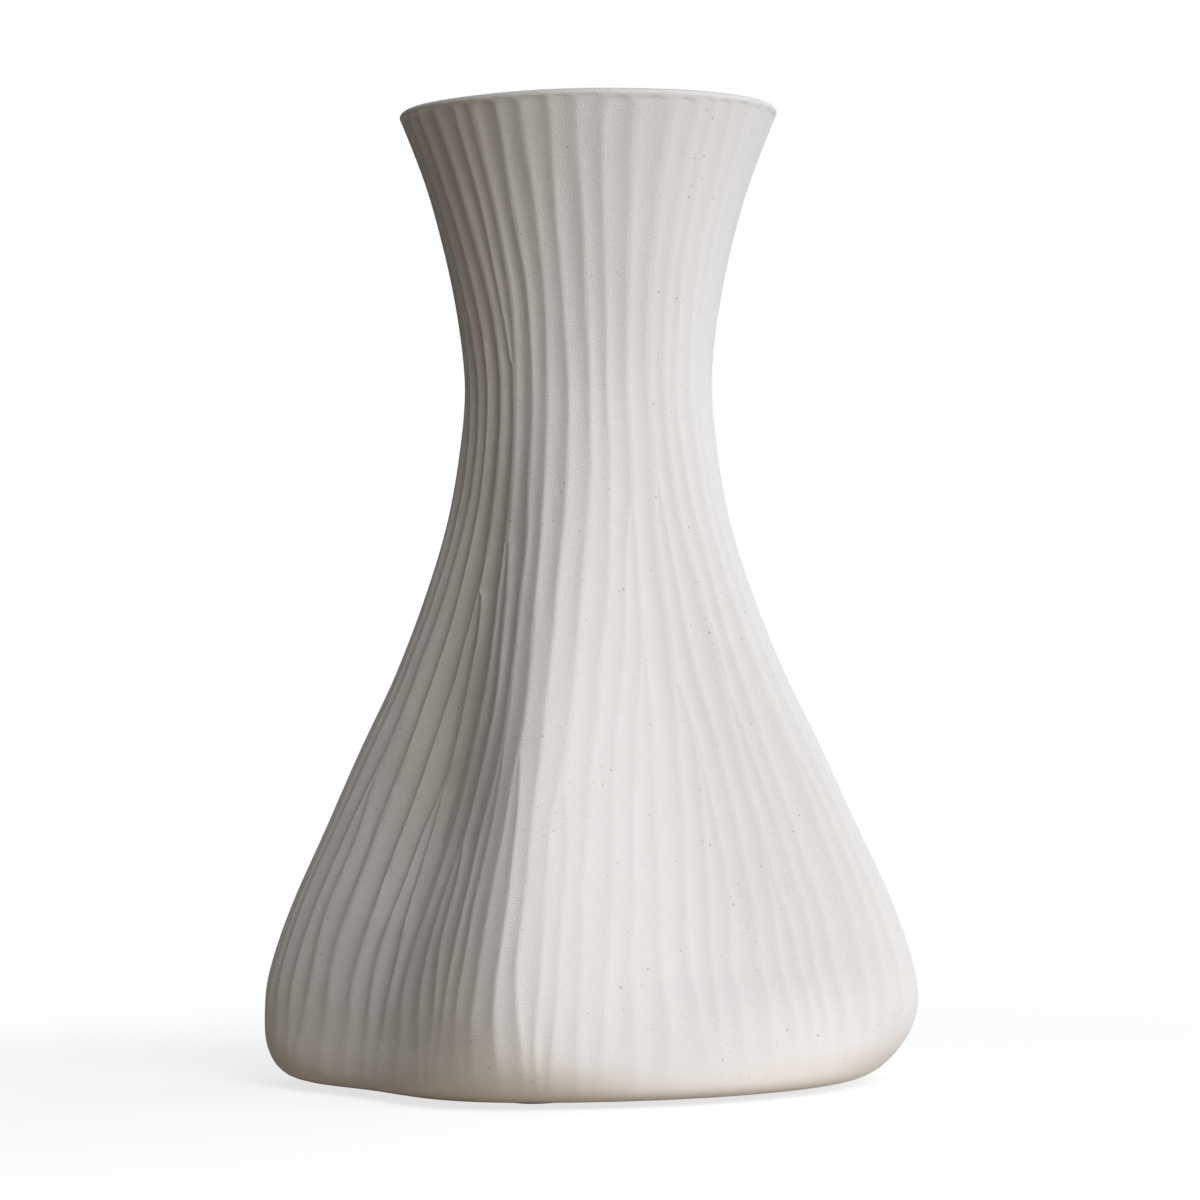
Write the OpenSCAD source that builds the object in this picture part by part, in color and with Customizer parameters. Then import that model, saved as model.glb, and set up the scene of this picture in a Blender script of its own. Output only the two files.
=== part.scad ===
// Hand-carved ceramic vase: a round flared mouth and a round waist over a soft square base,
// with flutes that run down the whole wall and fork as the body widens.
// Millimetres, Z up, origin on the table under the middle of the base, one flat side facing -Y.

/* [Body] */
// Overall height of the vase, standing on its pads
vase_h = 250; // [230:1:270]
// Corner to corner distance at the widest place, low on the body
belly_diagonal = 173; // [162:0.5:184]
// Height of the widest place above the clay's underside
belly_h = 20; // [16:1:25]
// Corner to corner distance of the flat underside
foot_diagonal = 143; // [136:1:150]
// Diameter of the round waist
waist_d = 64.5; // [58:0.5:72]
// Height of the waist above the clay's underside
waist_h = 179; // [168:1:188]
// Outer diameter of the round mouth
mouth_d = 98; // [88:1:108]
// How far the mouth has drifted sideways from the middle of the base
mouth_drift = 4.4; // [0:0.2:6]

/* [Clay] */
// Wall thickness low on the body
belly_wall_t = 6; // [5:0.25:7.5]
// Wall thickness from the waist up to the lip
neck_wall_t = 3.4; // [2.8:0.1:4.5]
// Thickness of the floor slab
floor_t = 6; // [4:0.5:8]
// Width of the wall's foot around the floor slab
foot_ring_w = 9.5; // [8:0.5:12]
// Height of the soft corner between the floor and the wall, inside
inner_corner_h = 17; // [12:1:22]
// Height of the plain coil that makes the lip
lip_h = 3; // [2.4:0.2:5]
// Radius of the lip's rounded outer edge
lip_round = 1.3; // [0.6:0.1:1.5]

/* [Flutes] */
// Number of flutes on each quarter of the neck
flutes_per_face = 10; // [8:1:12]
// Depth of a flute from its ridge to its trough
flute_depth = 0.45; // [0.2:0.05:0.8]
// How far a ridge wanders to either side of its line
flute_wander = 0.6; // [0:0.1:1]
// Height at which the flutes begin above the clay's underside
flute_start_h = 7; // [4:0.5:9]
// Height over which a flute's lower end deepens
flute_run_in_h = 10; // [6:1:14]
// Height over which a flute's upper end runs out under the lip
flute_run_out_h = 3; // [1:0.5:5]
// Height over which a new ridge rises below a fork
fork_run_h = 16; // [8:1:24]

/* [Glaze and pads] */
// Thickness of the glaze coat inside
glaze_t = 0.5; // [0.3:0.1:0.9]
// Diameter of a felt pad
pad_d = 12; // [8:1:16]
// Thickness of a felt pad
pad_h = 1.5; // [1:0.25:3]
// Distance from a corner of the flat underside in to the middle of a pad
pad_inset = 19.5; // [17:0.5:30]

/* [Hidden] */

// Heights above the clay's underside
clay_h = vase_h - pad_h;
seat_h = clay_h - lip_h;
inner_join_h = floor_t + inner_corner_h;

// Radii, each from the middle to a corner or to the round edge
belly_r = belly_diagonal / 2;
foot_r = foot_diagonal / 2;
waist_r = waist_d / 2;
mouth_r = mouth_d / 2;
floor_r = foot_r - foot_ring_w;

// Share of the reach from the waist to the belly that is left at each share of the height between them
flare_shares = [
    [0, 1], [0.0625, 0.97], [0.16, 0.87], [0.28, 0.706], [0.41, 0.53],
    [0.53, 0.355], [0.66, 0.2], [0.78, 0.089], [0.91, 0.02], [1, 0]
];
// Share of full squareness at each share of the clay's height
square_shares = [
    [0, 0.1], [0.03, 0.25], [0.06, 0.5], [0.1, 0.7], [0.15, 0.83],
    [0.3, 1], [0.45, 0.4], [0.6, 0.14], [0.75, 0], [1, 0]
];
// Dishing of the flat sides at each share of the height, as a share of the corner radius
dish_shares = [
    [0, 0.05], [0.06, 0.045], [0.15, 0.06], [0.3, 0.08], [0.45, 0.05], [0.6, 0.01], [0.75, 0], [1, 0]
];
// How far each side is beaten in from outside, against that dishing, at the foot and above it:
// front, right, back, left. Below 0 the side bulges instead.
foot_dent_shares = [-1.6, 1, -1.6, 1.4];
side_dent_shares = [0.85, 1, 1, 1.5];
// Reach of each corner of the underside, as a share of the even reach: front left, front right,
// back right, back left
foot_reach_shares = [0.993, 0.965, 1, 0.93];
// Power of the curve from each of these corners out to the widest place
foot_powers = [2.1, 1.7, 2, 3.1];
// Angle of the back right corner from the front left one: its reach and its power are the even ones
even_corner_angle = 180;
// Share of the widest place's height at which the sides begin to change from the foot's dents to their own
dent_change_share = 0.5;
// Share of the way from even spacing round the neck to even spacing along the square sides
spread_shares = [[0, 1], [0.12, 1], [0.45, 0.5], [0.72, 0], [1, 0]];
// Share of the belly's extra wall thickness at each share of the height
thick_shares = [[0, 1], [0.15, 1], [0.45, 0.5], [0.72, 0], [1, 0]];
// Power of the section's curve: 2 is a circle and the full one is a square with soft corners
round_power = 2;
full_power = 9;
// Power of the curve that flares the neck out to the mouth
mouth_power = 1.7;
// Turn of the neck's ridges against the corners, as a share of one quarter
neck_turn_share = -0.05;
// Direction in which the mouth has drifted, in degrees from +X
drift_angle = -31;
// Slope of the lip coil's inner side against the outer flare
lip_inner_slope_share = 0.5;

// Forks on each face as [share across the face, share of the clay's height], front, right, back, left
fork_shares = [
    [
        [0.15, 0.31], [0.35, 0.43], [0.45, 0.58], [0.55, 0.63],
        [0.65, 0.32], [0.75, 0.405], [0.85, 0.19], [0.95, 0.37]
    ],
    [[0.15, 0.35], [0.35, 0.5], [0.45, 0.27], [0.65, 0.44], [0.85, 0.33], [0.95, 0.2]],
    [[0.05, 0.3], [0.25, 0.46], [0.45, 0.36], [0.55, 0.52], [0.75, 0.26], [0.85, 0.41]],
    [[0.25, 0.31], [0.45, 0.315], [0.55, 0.5], [0.75, 0.55], [0.85, 0.25], [0.95, 0.345]]
];

// Counts of the wall's facets
face_count = 4;
points_per_flute = 4;
columns = face_count * flutes_per_face * points_per_flute;
inner_columns = columns / 2;
foot_steps = 4;
body_steps = 12;
neck_steps = 6;
inner_corner_steps = 3;
inner_steps = 8;
lip_steps = 6;

// Smooth curve through a table of [place, value] rows, level at both ends
function row_before(table, x, i = 0) =
    (i == len(table) - 2 || x < table[i + 1][0]) ? i : row_before(table, x, i + 1);
function slope_at(table, i) = (i == 0 || i == len(table) - 1)
    ? 0
    : (table[i + 1][1] - table[i - 1][1]) / (table[i + 1][0] - table[i - 1][0]);
function value_at(table, x) =
    let (
        i = row_before(table, x),
        gap = table[i + 1][0] - table[i][0],
        s = (x - table[i][0]) / gap
    )
    (2 * pow(s, 3) - 3 * pow(s, 2) + 1) * table[i][1]
    + (pow(s, 3) - 2 * pow(s, 2) + s) * gap * slope_at(table, i)
    + (3 * pow(s, 2) - 2 * pow(s, 3)) * table[i + 1][1]
    + (pow(s, 3) - pow(s, 2)) * gap * slope_at(table, i + 1);

function mix(from, to, share) = from + (to - from) * share;
function clamp_share(x) = min(1, max(0, x));
// Share of a scallop's depth at the share u of its width
function scallop(u) = 1 - pow(2 * u - 1, 2);

// Blend of four values, one for each corner of the base, at the angle a from the front left corner
function at_corners(values, a) =
    [for (k = [0:face_count - 1]) pow(max(0, cos(a - 90 * k)), 2)] * values;

// Corner radius of the clay's outer surface at height z, as curved in below the widest place at the angle a
function corner_r(z, a = even_corner_angle) =
    let (power = at_corners(foot_powers, a))
    z < belly_h
    ? mix(foot_r * at_corners(foot_reach_shares, a), belly_r, pow(1 - pow(1 - z / belly_h, power), 1 / power))
    : z < waist_h
    ? mix(waist_r, belly_r, value_at(flare_shares, (z - belly_h) / (waist_h - belly_h)))
    : mix(waist_r, mouth_r, pow((z - waist_h) / (clay_h - waist_h), mouth_power));

// Share of the corner radius that the section keeps at the angle a from a corner of a side, which is beaten
// in by the share dent of the dishing
function section_share(z, a, dent = 1) =
    let (
        power = mix(round_power, full_power, value_at(square_shares, z / clay_h)),
        side = pow(pow(abs(cos(a + 45)), power) + pow(abs(sin(a + 45)), power), -1 / power),
        corner = pow(2, 1 / 2 - 1 / power)
    )
    side / corner - dent * value_at(dish_shares, z / clay_h) * pow(sin(2 * a), 2);

// Thickness of the wall at height z
function wall_t(z) = mix(neck_wall_t, belly_wall_t, value_at(thick_shares, z / clay_h));

// Sideways drift of the vase's middle at height z
function drift(z) = mouth_drift * z / clay_h * [cos(drift_angle), sin(drift_angle)];

// Angle from a face's first corner, for a place given as shares of the face at the neck and at the base
function spread_angle(neck_share, base_share, z) =
    mix(90 * neck_share, 45 + atan(2 * base_share - 1), value_at(spread_shares, z / clay_h));

// Height share at which each flute forks, 0 where it doesn't
fork_tops = [for (face = fork_shares) [for (i = [0:flutes_per_face - 1])
    max(concat([0], [for (fork = face) if (floor(fork[0] * flutes_per_face) == i) fork[1]]))]];
// Whether a flute forks, as 1 or 0, and how many forked flutes come before it on its face
function forked(face, i) = fork_tops[face][i] > 0 ? 1 : 0;
function forks_before(face, i) = i == 0 ? 0 : forks_before(face, i - 1) + forked(face, i - 1);
forks_ahead = [for (face = [0:face_count - 1]) [for (i = [0:flutes_per_face]) forks_before(face, i)]];
// How far the new ridge of a forked flute has risen at height z
function fork_share(face, i, z) =
    forked(face, i) * clamp_share((fork_tops[face][i] * clay_h - z) / fork_run_h);

// Depth of the flutes at height z
function depth_at(z) = flute_depth
    * clamp_share((z - flute_start_h) / flute_run_in_h)
    * clamp_share((seat_h - z) / flute_run_out_h);

// Sideways wander of one ridge at height z, a sum of two slow waves that differs from ridge to ridge
function wander(ridge, z) = flute_wander
    * (sin(137.5 * ridge + 900 * z / clay_h) + sin(71 * ridge + 460 * z / clay_h)) / 2;

// Point of the clay's outer surface in one column, at height z
function outer_point(column, z) =
    let (
        flute = floor(column / points_per_flute),
        u = (column % points_per_flute) / points_per_flute,
        face = floor(flute / flutes_per_face),
        i = flute % flutes_per_face,
        neck_share = (i + u) / flutes_per_face + neck_turn_share,
        base_share = (i + forks_ahead[face][i] + u * (1 + forked(face, i)))
            / (flutes_per_face + forks_ahead[face][flutes_per_face]),
        next = (flute + 1) % (face_count * flutes_per_face),
        sway = mix(wander(flute, z), wander(next, z), u) * clamp_share((z - flute_start_h) / flute_run_in_h),
        a = spread_angle(neck_share, base_share, z) + sway / corner_r(z) * 180 / PI,
        dip = mix(scallop(u), scallop((2 * u) % 1), fork_share(face, i, z)),
        above_foot = clamp_share(z / belly_h - dent_change_share),
        dent = mix(foot_dent_shares[face], side_dent_shares[face], above_foot),
        r = corner_r(z, 90 * face + a) * section_share(z, a, dent) - depth_at(z) * dip
    )
    placed(r, 90 * face + a, z);

// How far the wall's inner side has turned up from the floor at height z, 0 on the floor and 90 on the wall
function turn_up(z) = z < floor_t ? 0 : z < inner_join_h ? acos(1 - (z - floor_t) / inner_corner_h) : 90;

// Radius of the wall's inner side at height z: the floor's edge, a soft corner, then the wall's thickness
function inner_r(z, a) =
    let (
        clear_z = max(z, inner_join_h),
        wall_r = corner_r(clear_z) * section_share(clear_z, a) - wall_t(clear_z)
    )
    mix(floor_r * section_share(0, a), wall_r, sin(turn_up(z)));

// Point at the height z in one of the inner columns, moved off the wall's inner side by a coat of thickness d
function inner_point(column, z, d) =
    let (
        face_columns = inner_columns / face_count,
        face = floor(column / face_columns),
        share = (column % face_columns) / face_columns,
        a = spread_angle(share + neck_turn_share, share, z)
    )
    placed(inner_r(z, a) - d * sin(turn_up(z)), 90 * face + a, z + d * cos(turn_up(z)));

// Point at radius r and height z over the underside, turned a degrees from the front left corner
function placed(r, a, z) = concat(drift(z) + r * [cos(a - 135), sin(a - 135)], [z + pad_h]);

// Heights of the rings of points
outer_heights = concat(
    [for (i = [0:foot_steps]) belly_h * (1 - cos(90 * i / foot_steps))],
    [for (i = [1:body_steps]) mix(belly_h, waist_h, i / body_steps)],
    [for (i = [1:neck_steps]) mix(waist_h, seat_h - flute_run_out_h, i / neck_steps)],
    [seat_h]
);
cavity_heights = concat(
    [for (i = [0:inner_corner_steps]) floor_t + inner_corner_h * (1 - cos(90 * i / inner_corner_steps))],
    [for (i = [1:inner_steps]) mix(inner_join_h, seat_h, i / inner_steps)]
);

// Points of the closed rings of a surface, ring after ring
function outer_rings(heights) = [for (z = heights) for (column = [0:columns - 1]) outer_point(column, z)];
function inner_rings(heights, d) =
    [for (z = heights) for (column = [0:inner_columns - 1]) inner_point(column, z, d)];

// Triangles between rings of n points that start at point number first, facing outwards
function band_faces(first, n, rings) = [
    for (ring = [0:rings - 2]) for (k = [0:n - 1])
        let (
            low = first + ring * n + k,
            low_next = first + ring * n + (k + 1) % n
        )
        each [[low, low + n, low_next], [low_next, low + n, low_next + n]]
];
// The same triangles turned round, for a surface that faces inwards
function turned(faces) = [for (f = faces) [f[0], f[2], f[1]]];
// Flat ring of triangles between n inner points and n * ratio outer points, seen from above
function rim_faces(inner_first, n, outer_first, ratio) = [
    for (k = [0:n - 1]) each concat(
        [for (j = [0:ratio - 1])
            [inner_first + k, outer_first + (k * ratio + j + 1) % (n * ratio), outer_first + k * ratio + j]],
        [[inner_first + k, inner_first + (k + 1) % n, outer_first + ((k + 1) * ratio) % (n * ratio)]]
    )
];
// Flat fan over n ring points round one middle point, seen from above
function fan_faces(first, n, middle) = [for (k = [0:n - 1]) [first + k, middle, first + (k + 1) % n]];

module carved_wall() {
    inner_heights = concat([0], cavity_heights);
    inner_first = len(outer_heights) * columns;
    last_inner = inner_first + (len(inner_heights) - 1) * inner_columns;
    ratio = columns / inner_columns;
    color("#e8e4dc")
        polyhedron(
            points = concat(outer_rings(outer_heights), inner_rings(inner_heights, 0)),
            faces = concat(
                band_faces(0, columns, len(outer_heights)),
                turned(band_faces(inner_first, inner_columns, len(inner_heights))),
                turned(rim_faces(inner_first, inner_columns, 0, ratio)),
                rim_faces(last_inner, inner_columns, (len(outer_heights) - 1) * columns, ratio)
            )
        );
}

// The lip: a turned coil that continues the outer flare and rounds over the top
module rim_coil() {
    outer_low_r = corner_r(seat_h);
    inner_low_r = outer_low_r - neck_wall_t - glaze_t;
    flare = (mouth_r - outer_low_r) / lip_h;
    outer_top_r = outer_low_r + flare * (lip_h - lip_round);
    inner_top_r = inner_low_r + flare * (lip_h - lip_round) * lip_inner_slope_share;
    color("#e8e4dc")
        translate(concat(drift(seat_h), [seat_h + pad_h]))
            rotate_extrude()
                polygon(concat(
                    [[inner_low_r, 0], [outer_low_r, 0]],
                    [for (i = [0:lip_steps]) [
                        outer_top_r - lip_round + lip_round * cos(90 * i / lip_steps),
                        lip_h - lip_round + lip_round * sin(90 * i / lip_steps)
                    ]],
                    [for (i = [0:lip_steps]) [
                        inner_top_r + lip_round - lip_round * sin(90 * i / lip_steps),
                        lip_h - lip_round + lip_round * cos(90 * i / lip_steps)
                    ]]
                ));
}

module floor_slab() {
    edge = inner_rings([0], 0);
    color("#dcd6cb")
        translate([0, 0, pad_h])
            linear_extrude(height = floor_t)
                polygon([for (p = edge) [p[0], p[1]]]);
}

// The glaze coat: it lies on the wall's inner side and on the floor slab, up to the lip coil
module glaze_lining() {
    n = inner_columns;
    rings = len(cavity_heights);
    points = concat(
        inner_rings(cavity_heights, 0),
        inner_rings(cavity_heights, glaze_t),
        [concat(drift(floor_t), [floor_t + pad_h]), concat(drift(floor_t), [floor_t + glaze_t + pad_h])]
    );
    color("#d8dad2")
        polyhedron(
            points = points,
            faces = concat(
                band_faces(0, n, rings),
                turned(band_faces(rings * n, n, rings)),
                turned(fan_faces(0, n, 2 * rings * n)),
                fan_faces(rings * n, n, 2 * rings * n + 1),
                rim_faces((2 * rings - 1) * n, n, (rings - 1) * n, 1)
            )
        );
}

// A round felt pad under one corner of the base
module foot_pad(number) {
    color("#b9b2a4")
        rotate([0, 0, 90 * number - 45])
            translate([foot_r - pad_inset, 0, 0])
                cylinder(d = pad_d, h = pad_h, $fn = 64);
}

carved_wall();
rim_coil();
floor_slab();
glaze_lining();
foot_pad(1);  // foot_pad_1
foot_pad(2);  // foot_pad_2
foot_pad(3);  // foot_pad_3
foot_pad(4);  // foot_pad_4
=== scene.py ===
"""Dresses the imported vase: hand-carved clay with flutes that fork as the body widens.

The wall, the lip, the floor slab, the glaze inside and the felt pads are each a class. Shapes are worked out
in millimetres as grids of two parameters and become meshes in metres. The vase stands at the origin on the
table.
"""

import logging
import math
from dataclasses import dataclass
from enum import Enum, IntEnum
from typing import ClassVar

import bpy
import numpy as np
from mathutils import Matrix, Vector


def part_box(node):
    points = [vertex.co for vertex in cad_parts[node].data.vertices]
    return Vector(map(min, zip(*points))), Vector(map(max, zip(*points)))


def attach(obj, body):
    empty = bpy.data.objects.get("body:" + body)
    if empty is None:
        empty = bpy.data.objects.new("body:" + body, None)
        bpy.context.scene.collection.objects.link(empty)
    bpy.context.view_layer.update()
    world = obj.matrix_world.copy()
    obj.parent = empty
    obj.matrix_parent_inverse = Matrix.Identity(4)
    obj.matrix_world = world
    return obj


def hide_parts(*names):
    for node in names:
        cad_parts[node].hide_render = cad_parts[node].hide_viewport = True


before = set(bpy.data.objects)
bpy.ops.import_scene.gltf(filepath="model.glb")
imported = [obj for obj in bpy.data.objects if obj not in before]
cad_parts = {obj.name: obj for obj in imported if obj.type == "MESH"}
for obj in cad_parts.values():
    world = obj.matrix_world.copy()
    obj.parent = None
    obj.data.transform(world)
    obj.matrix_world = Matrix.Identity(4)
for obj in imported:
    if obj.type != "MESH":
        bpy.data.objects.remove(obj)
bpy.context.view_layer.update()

LOG = logging.getLogger("vase")
BODY = "root"
MM = 0.001
TURN = 2 * math.pi
QUARTER = math.pi / 2
SIDES = 4
SIDE_ANGLE = 90.0
SIDE_PLACES = 10
NEAR_CORNER = -135.0
SHARP_ANGLE = math.radians(50)

Four = tuple[float, float, float, float]
Colour = tuple[float, float, float, float]
Span = tuple[float, float]
Rows = tuple[tuple[float, float], ...]


class Slot(Enum):
    """The record's material slots."""

    CLAY = "bare_clay"
    GLAZE = "liner_glaze"
    FELT = "pad_felt"


class Joins(Enum):
    """The neighbour that a ridge lies against above or below its own path."""

    LEFT = "left"
    RIGHT = "right"


class Seed(IntEnum):
    """The seeds of all that is random."""

    FLUTE_ENDS = 5
    WANDER = 11
    FIRMNESS = 17
    TREMBLE = 23
    HOLLOWS = 31
    LIP = 41
    GLAZE_EDGE = 47
    GLAZE_DEPTH = 49
    SLAB = 53
    PADS = 60


def mix(start: np.ndarray | float, end: np.ndarray | float, share: np.ndarray | float) -> np.ndarray:
    """Straight blend from start to end."""
    return start + (end - start) * share


def ease(x: np.ndarray) -> np.ndarray:
    """Smooth step: three times the square less twice the cube, held at 0 and 1 outside."""
    held = np.clip(x, 0.0, 1.0)
    return held * held * (3 - 2 * held)


def waves(index: np.ndarray, along: np.ndarray, lengths: tuple[float, ...], seed: int) -> np.ndarray:
    """Sum of sine waves, one for each length, whose phases differ from index to index.

    Args:
        index: Whole number of the line that each wave belongs to.
        along: Place along the line, in the lengths' own unit.
        lengths: Wavelengths.
        seed: Seed of the phases.

    Returns:
        Values of about -1 to 1, in the shape that index and along broadcast to.
    """
    phases = np.random.default_rng(seed).uniform(0, TURN, (len(lengths), int(np.max(index)) + 1))
    total = sum(np.sin(TURN * along / length + phases[k][index]) for k, length in enumerate(lengths))
    return total / math.sqrt(len(lengths))


def lumps(points: np.ndarray, length: float, seed: int, count: int = 7,
          pitches: Span = (0.7, 1.4)) -> np.ndarray:
    """Slow unevenness in space: the mean of sine waves that run in chosen random directions.

    Args:
        points: Places, in millimetres, in an array whose last axis is x, y, z.
        length: Mean wavelength.
        seed: Seed of the directions and phases.
        count: Number of waves.
        pitches: Shortest and longest wave, as shares of the length.

    Returns:
        Values of about -1 to 1, one for each place.
    """
    rng = np.random.default_rng(seed)
    way = rng.normal(size=(count, 3))
    way /= np.linalg.norm(way, axis=1, keepdims=True)
    pitch = length * rng.uniform(*pitches, count)
    phase = rng.uniform(0, TURN, count)
    return np.sin(TURN * (points @ way.T) / pitch + phase).sum(-1) / math.sqrt(count)


@dataclass(frozen=True)
class Curve:
    """A smooth curve through rows of (place, value), level at both ends."""

    rows: Rows

    def at(self, x: np.ndarray) -> np.ndarray:
        """Cubic Hermite curve: at an inner row its slope is that of the line through the two neighbours.

        Args:
            x: Places at which the curve is wanted.

        Returns:
            The curve's value at each place, held at the end values outside its rows.
        """
        places, values = np.array(self.rows, float).T
        slopes = np.zeros_like(values)
        slopes[1:-1] = (values[2:] - values[:-2]) / (places[2:] - places[:-2])
        held = np.clip(x, places[0], places[-1])
        low = np.clip(np.searchsorted(places, held, side="right") - 1, 0, len(places) - 2)
        gap = places[low + 1] - places[low]
        s = (held - places[low]) / gap
        return (
            (2 * s**3 - 3 * s**2 + 1) * values[low]
            + (s**3 - 2 * s**2 + s) * gap * slopes[low]
            + (3 * s**2 - 2 * s**3) * values[low + 1]
            + (s**3 - s**2) * gap * slopes[low + 1]
        )


@dataclass(frozen=True)
class VaseForm:
    """The clay's smooth shape in millimetres.

    Heights are measured from the underside, angles in degrees from the near left corner, and places in tenths
    of a side from that corner. Values in fours belong to the corners near left, near right, far right and far
    left, or to the sides front, right, back and left.
    """

    height: float
    pad_height: float
    floor_height: float
    seat_height: float
    belly_radius: float = 86.5
    belly_height: float = 20.0
    foot_radius: float = 71.5
    foot_ring: float = 9.5
    waist_radius: float = 32.25
    waist_height: float = 179.0
    mouth_radius: float = 49.0
    drift: float = 4.4
    drift_angle: float = -31.0
    mouth_power: float = 1.7
    round_power: float = 2.0
    full_power: float = 9.0
    neck_turn: float = -0.05
    belly_wall: float = 6.0
    neck_wall: float = 3.4
    inner_corner: float = 17.0
    glaze: float = 0.5
    flare: Curve = Curve((
        (0, 1), (0.0625, 0.97), (0.16, 0.87), (0.28, 0.706), (0.41, 0.53),
        (0.53, 0.355), (0.66, 0.2), (0.78, 0.089), (0.91, 0.02), (1, 0),
    ))
    squareness: Curve = Curve((
        (0, 0.1), (0.03, 0.25), (0.06, 0.5), (0.1, 0.7), (0.15, 0.83), (0.3, 1), (0.45, 0.4), (0.6, 0.14),
        (0.75, 0), (1, 0),
    ))
    dishing: Curve = Curve((
        (0, 0.05), (0.06, 0.045), (0.15, 0.06), (0.3, 0.08), (0.45, 0.05), (0.6, 0.01), (0.75, 0), (1, 0),
    ))
    foot_reach: Four = (0.993, 0.965, 1.0, 0.93)
    foot_power: Four = (2.1, 1.7, 2.0, 3.1)
    foot_dent: Four = (-1.6, 1.0, -1.6, 1.4)
    side_dent: Four = (0.85, 1.0, 1.0, 1.5)
    spread: Curve = Curve(((0, 1), (0.12, 1), (0.45, 0.5), (0.72, 0), (1, 0)))
    thickening: Curve = Curve(((0, 1), (0.15, 1), (0.45, 0.5), (0.72, 0), (1, 0)))

    @classmethod
    def from_frame(cls) -> "VaseForm":
        """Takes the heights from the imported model's own nodes.

        Returns:
            The form whose floor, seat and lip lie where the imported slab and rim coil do.
        """
        slab_low, slab_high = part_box("floor_slab")
        lip_low, lip_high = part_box("rim_coil")
        underside = slab_low.z
        return cls(
            height=(lip_high.z - underside) / MM,
            pad_height=underside / MM,
            floor_height=(slab_high.z - underside) / MM,
            seat_height=(lip_low.z - underside) / MM,
        )

    def along(self, curve: Curve, z: np.ndarray) -> np.ndarray:
        """Value at a height of a curve over the share of the vase's height."""
        return curve.at(z / self.height)

    def corner_radius(self, z: np.ndarray) -> np.ndarray:
        """Mean radius at a corner: a quarter ellipse at the foot, then the flare, then a power up the neck.

        Args:
            z: Heights.

        Returns:
            Radius at each height.
        """
        rise = np.clip(z / self.belly_height, 0, 1)
        foot = mix(self.foot_radius, self.belly_radius, np.sqrt(1 - (1 - rise) ** 2))
        climb = np.clip((z - self.belly_height) / (self.waist_height - self.belly_height), 0, 1)
        body = mix(self.waist_radius, self.belly_radius, self.flare.at(climb))
        top = np.clip((z - self.waist_height) / (self.height - self.waist_height), 0, 1)
        neck = mix(self.waist_radius, self.mouth_radius, top**self.mouth_power)
        return np.where(z < self.belly_height, foot, np.where(z < self.waist_height, body, neck))

    def section_share(self, z: np.ndarray, angle: np.ndarray, dent: np.ndarray | float = 1.0) -> np.ndarray:
        """Share of the corner radius at an angle: a superellipse, 1 at its corners, less a dish in each side.

        Args:
            z: Heights.
            angle: Angles.
            dent: How far the side was beaten in, against the mean dish.

        Returns:
            Share at each height and angle.
        """
        power = mix(self.round_power, self.full_power, self.along(self.squareness, z))
        turned = np.radians(angle + SIDE_ANGLE / 2)
        side = (np.abs(np.cos(turned)) ** power + np.abs(np.sin(turned)) ** power) ** (-1 / power)
        return side * 2 ** (1 / power - 0.5) - dent * self.dish(z, angle)

    def dish(self, z: np.ndarray, angle: np.ndarray) -> np.ndarray:
        """Mean dish of the sides: the square of a sine that is 0 at the corners and 1 in a side's middle."""
        return self.along(self.dishing, z) * np.sin(np.radians(2 * angle)) ** 2

    def outside(self, z: np.ndarray, angle: np.ndarray) -> np.ndarray:
        """Radius of the smooth outer surface, whose corners and sides were each shaped a little differently.

        Below the widest place each corner curves in to its own reach by a superellipse of its own power.
        Between corners these values blend by the squares of cosines. The foot's dents become the sides' own
        between a half and one and a half of that height.

        Args:
            z: Heights.
            angle: Angles.

        Returns:
            Radius at each height and angle.
        """
        corners = SIDE_ANGLE * np.arange(SIDES)
        near = np.maximum(np.cos(np.radians(angle[..., None] - corners)), 0) ** 2
        power = near @ np.array(self.foot_power)
        foot = self.foot_radius * (near @ np.array(self.foot_reach))
        rise = np.clip(z / self.belly_height, 0, 1)
        curved = mix(foot, self.belly_radius, (1 - (1 - rise) ** power) ** (1 / power))
        side = np.floor(angle / SIDE_ANGLE).astype(int) % SIDES
        body = np.clip(z / self.belly_height - 0.5, 0, 1)
        dent = mix(np.array(self.foot_dent)[side], np.array(self.side_dent)[side], body)
        corner = np.where(z < self.belly_height, curved, self.corner_radius(z))
        return corner * self.section_share(z, angle, dent)

    def wall(self, z: np.ndarray) -> np.ndarray:
        """Thickness of the wall at a height."""
        return mix(self.neck_wall, self.belly_wall, self.along(self.thickening, z))

    def bearing(self, place: np.ndarray, z: np.ndarray) -> np.ndarray:
        """Angle of a place: its side's share counts even steps round the neck, and even lengths on the base.

        Args:
            place: Places in tenths of a side.
            z: Heights.

        Returns:
            Angle in degrees of each place at each height.
        """
        side = np.floor(place / SIDE_PLACES)
        share = place / SIDE_PLACES - side
        even = SIDE_ANGLE * (share + self.neck_turn)
        square = SIDE_ANGLE / 2 + np.degrees(np.arctan(2 * share - 1))
        return SIDE_ANGLE * side + mix(even, square, self.along(self.spread, z))

    def points(self, radius: np.ndarray, angle: np.ndarray, z: np.ndarray) -> np.ndarray:
        """Places in space round the middle, which drifts sideways as it rises.

        Args:
            radius: Distances from the middle.
            angle: Angles.
            z: Heights.

        Returns:
            Array whose last axis is x, y, z in millimetres.
        """
        turned = np.radians(angle + NEAR_CORNER)
        slip = self.drift * z / self.height
        way = math.radians(self.drift_angle)
        x = slip * math.cos(way) + radius * np.cos(turned)
        y = slip * math.sin(way) + radius * np.sin(turned)
        return np.stack(np.broadcast_arrays(x, y, z + self.pad_height), -1)

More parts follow.
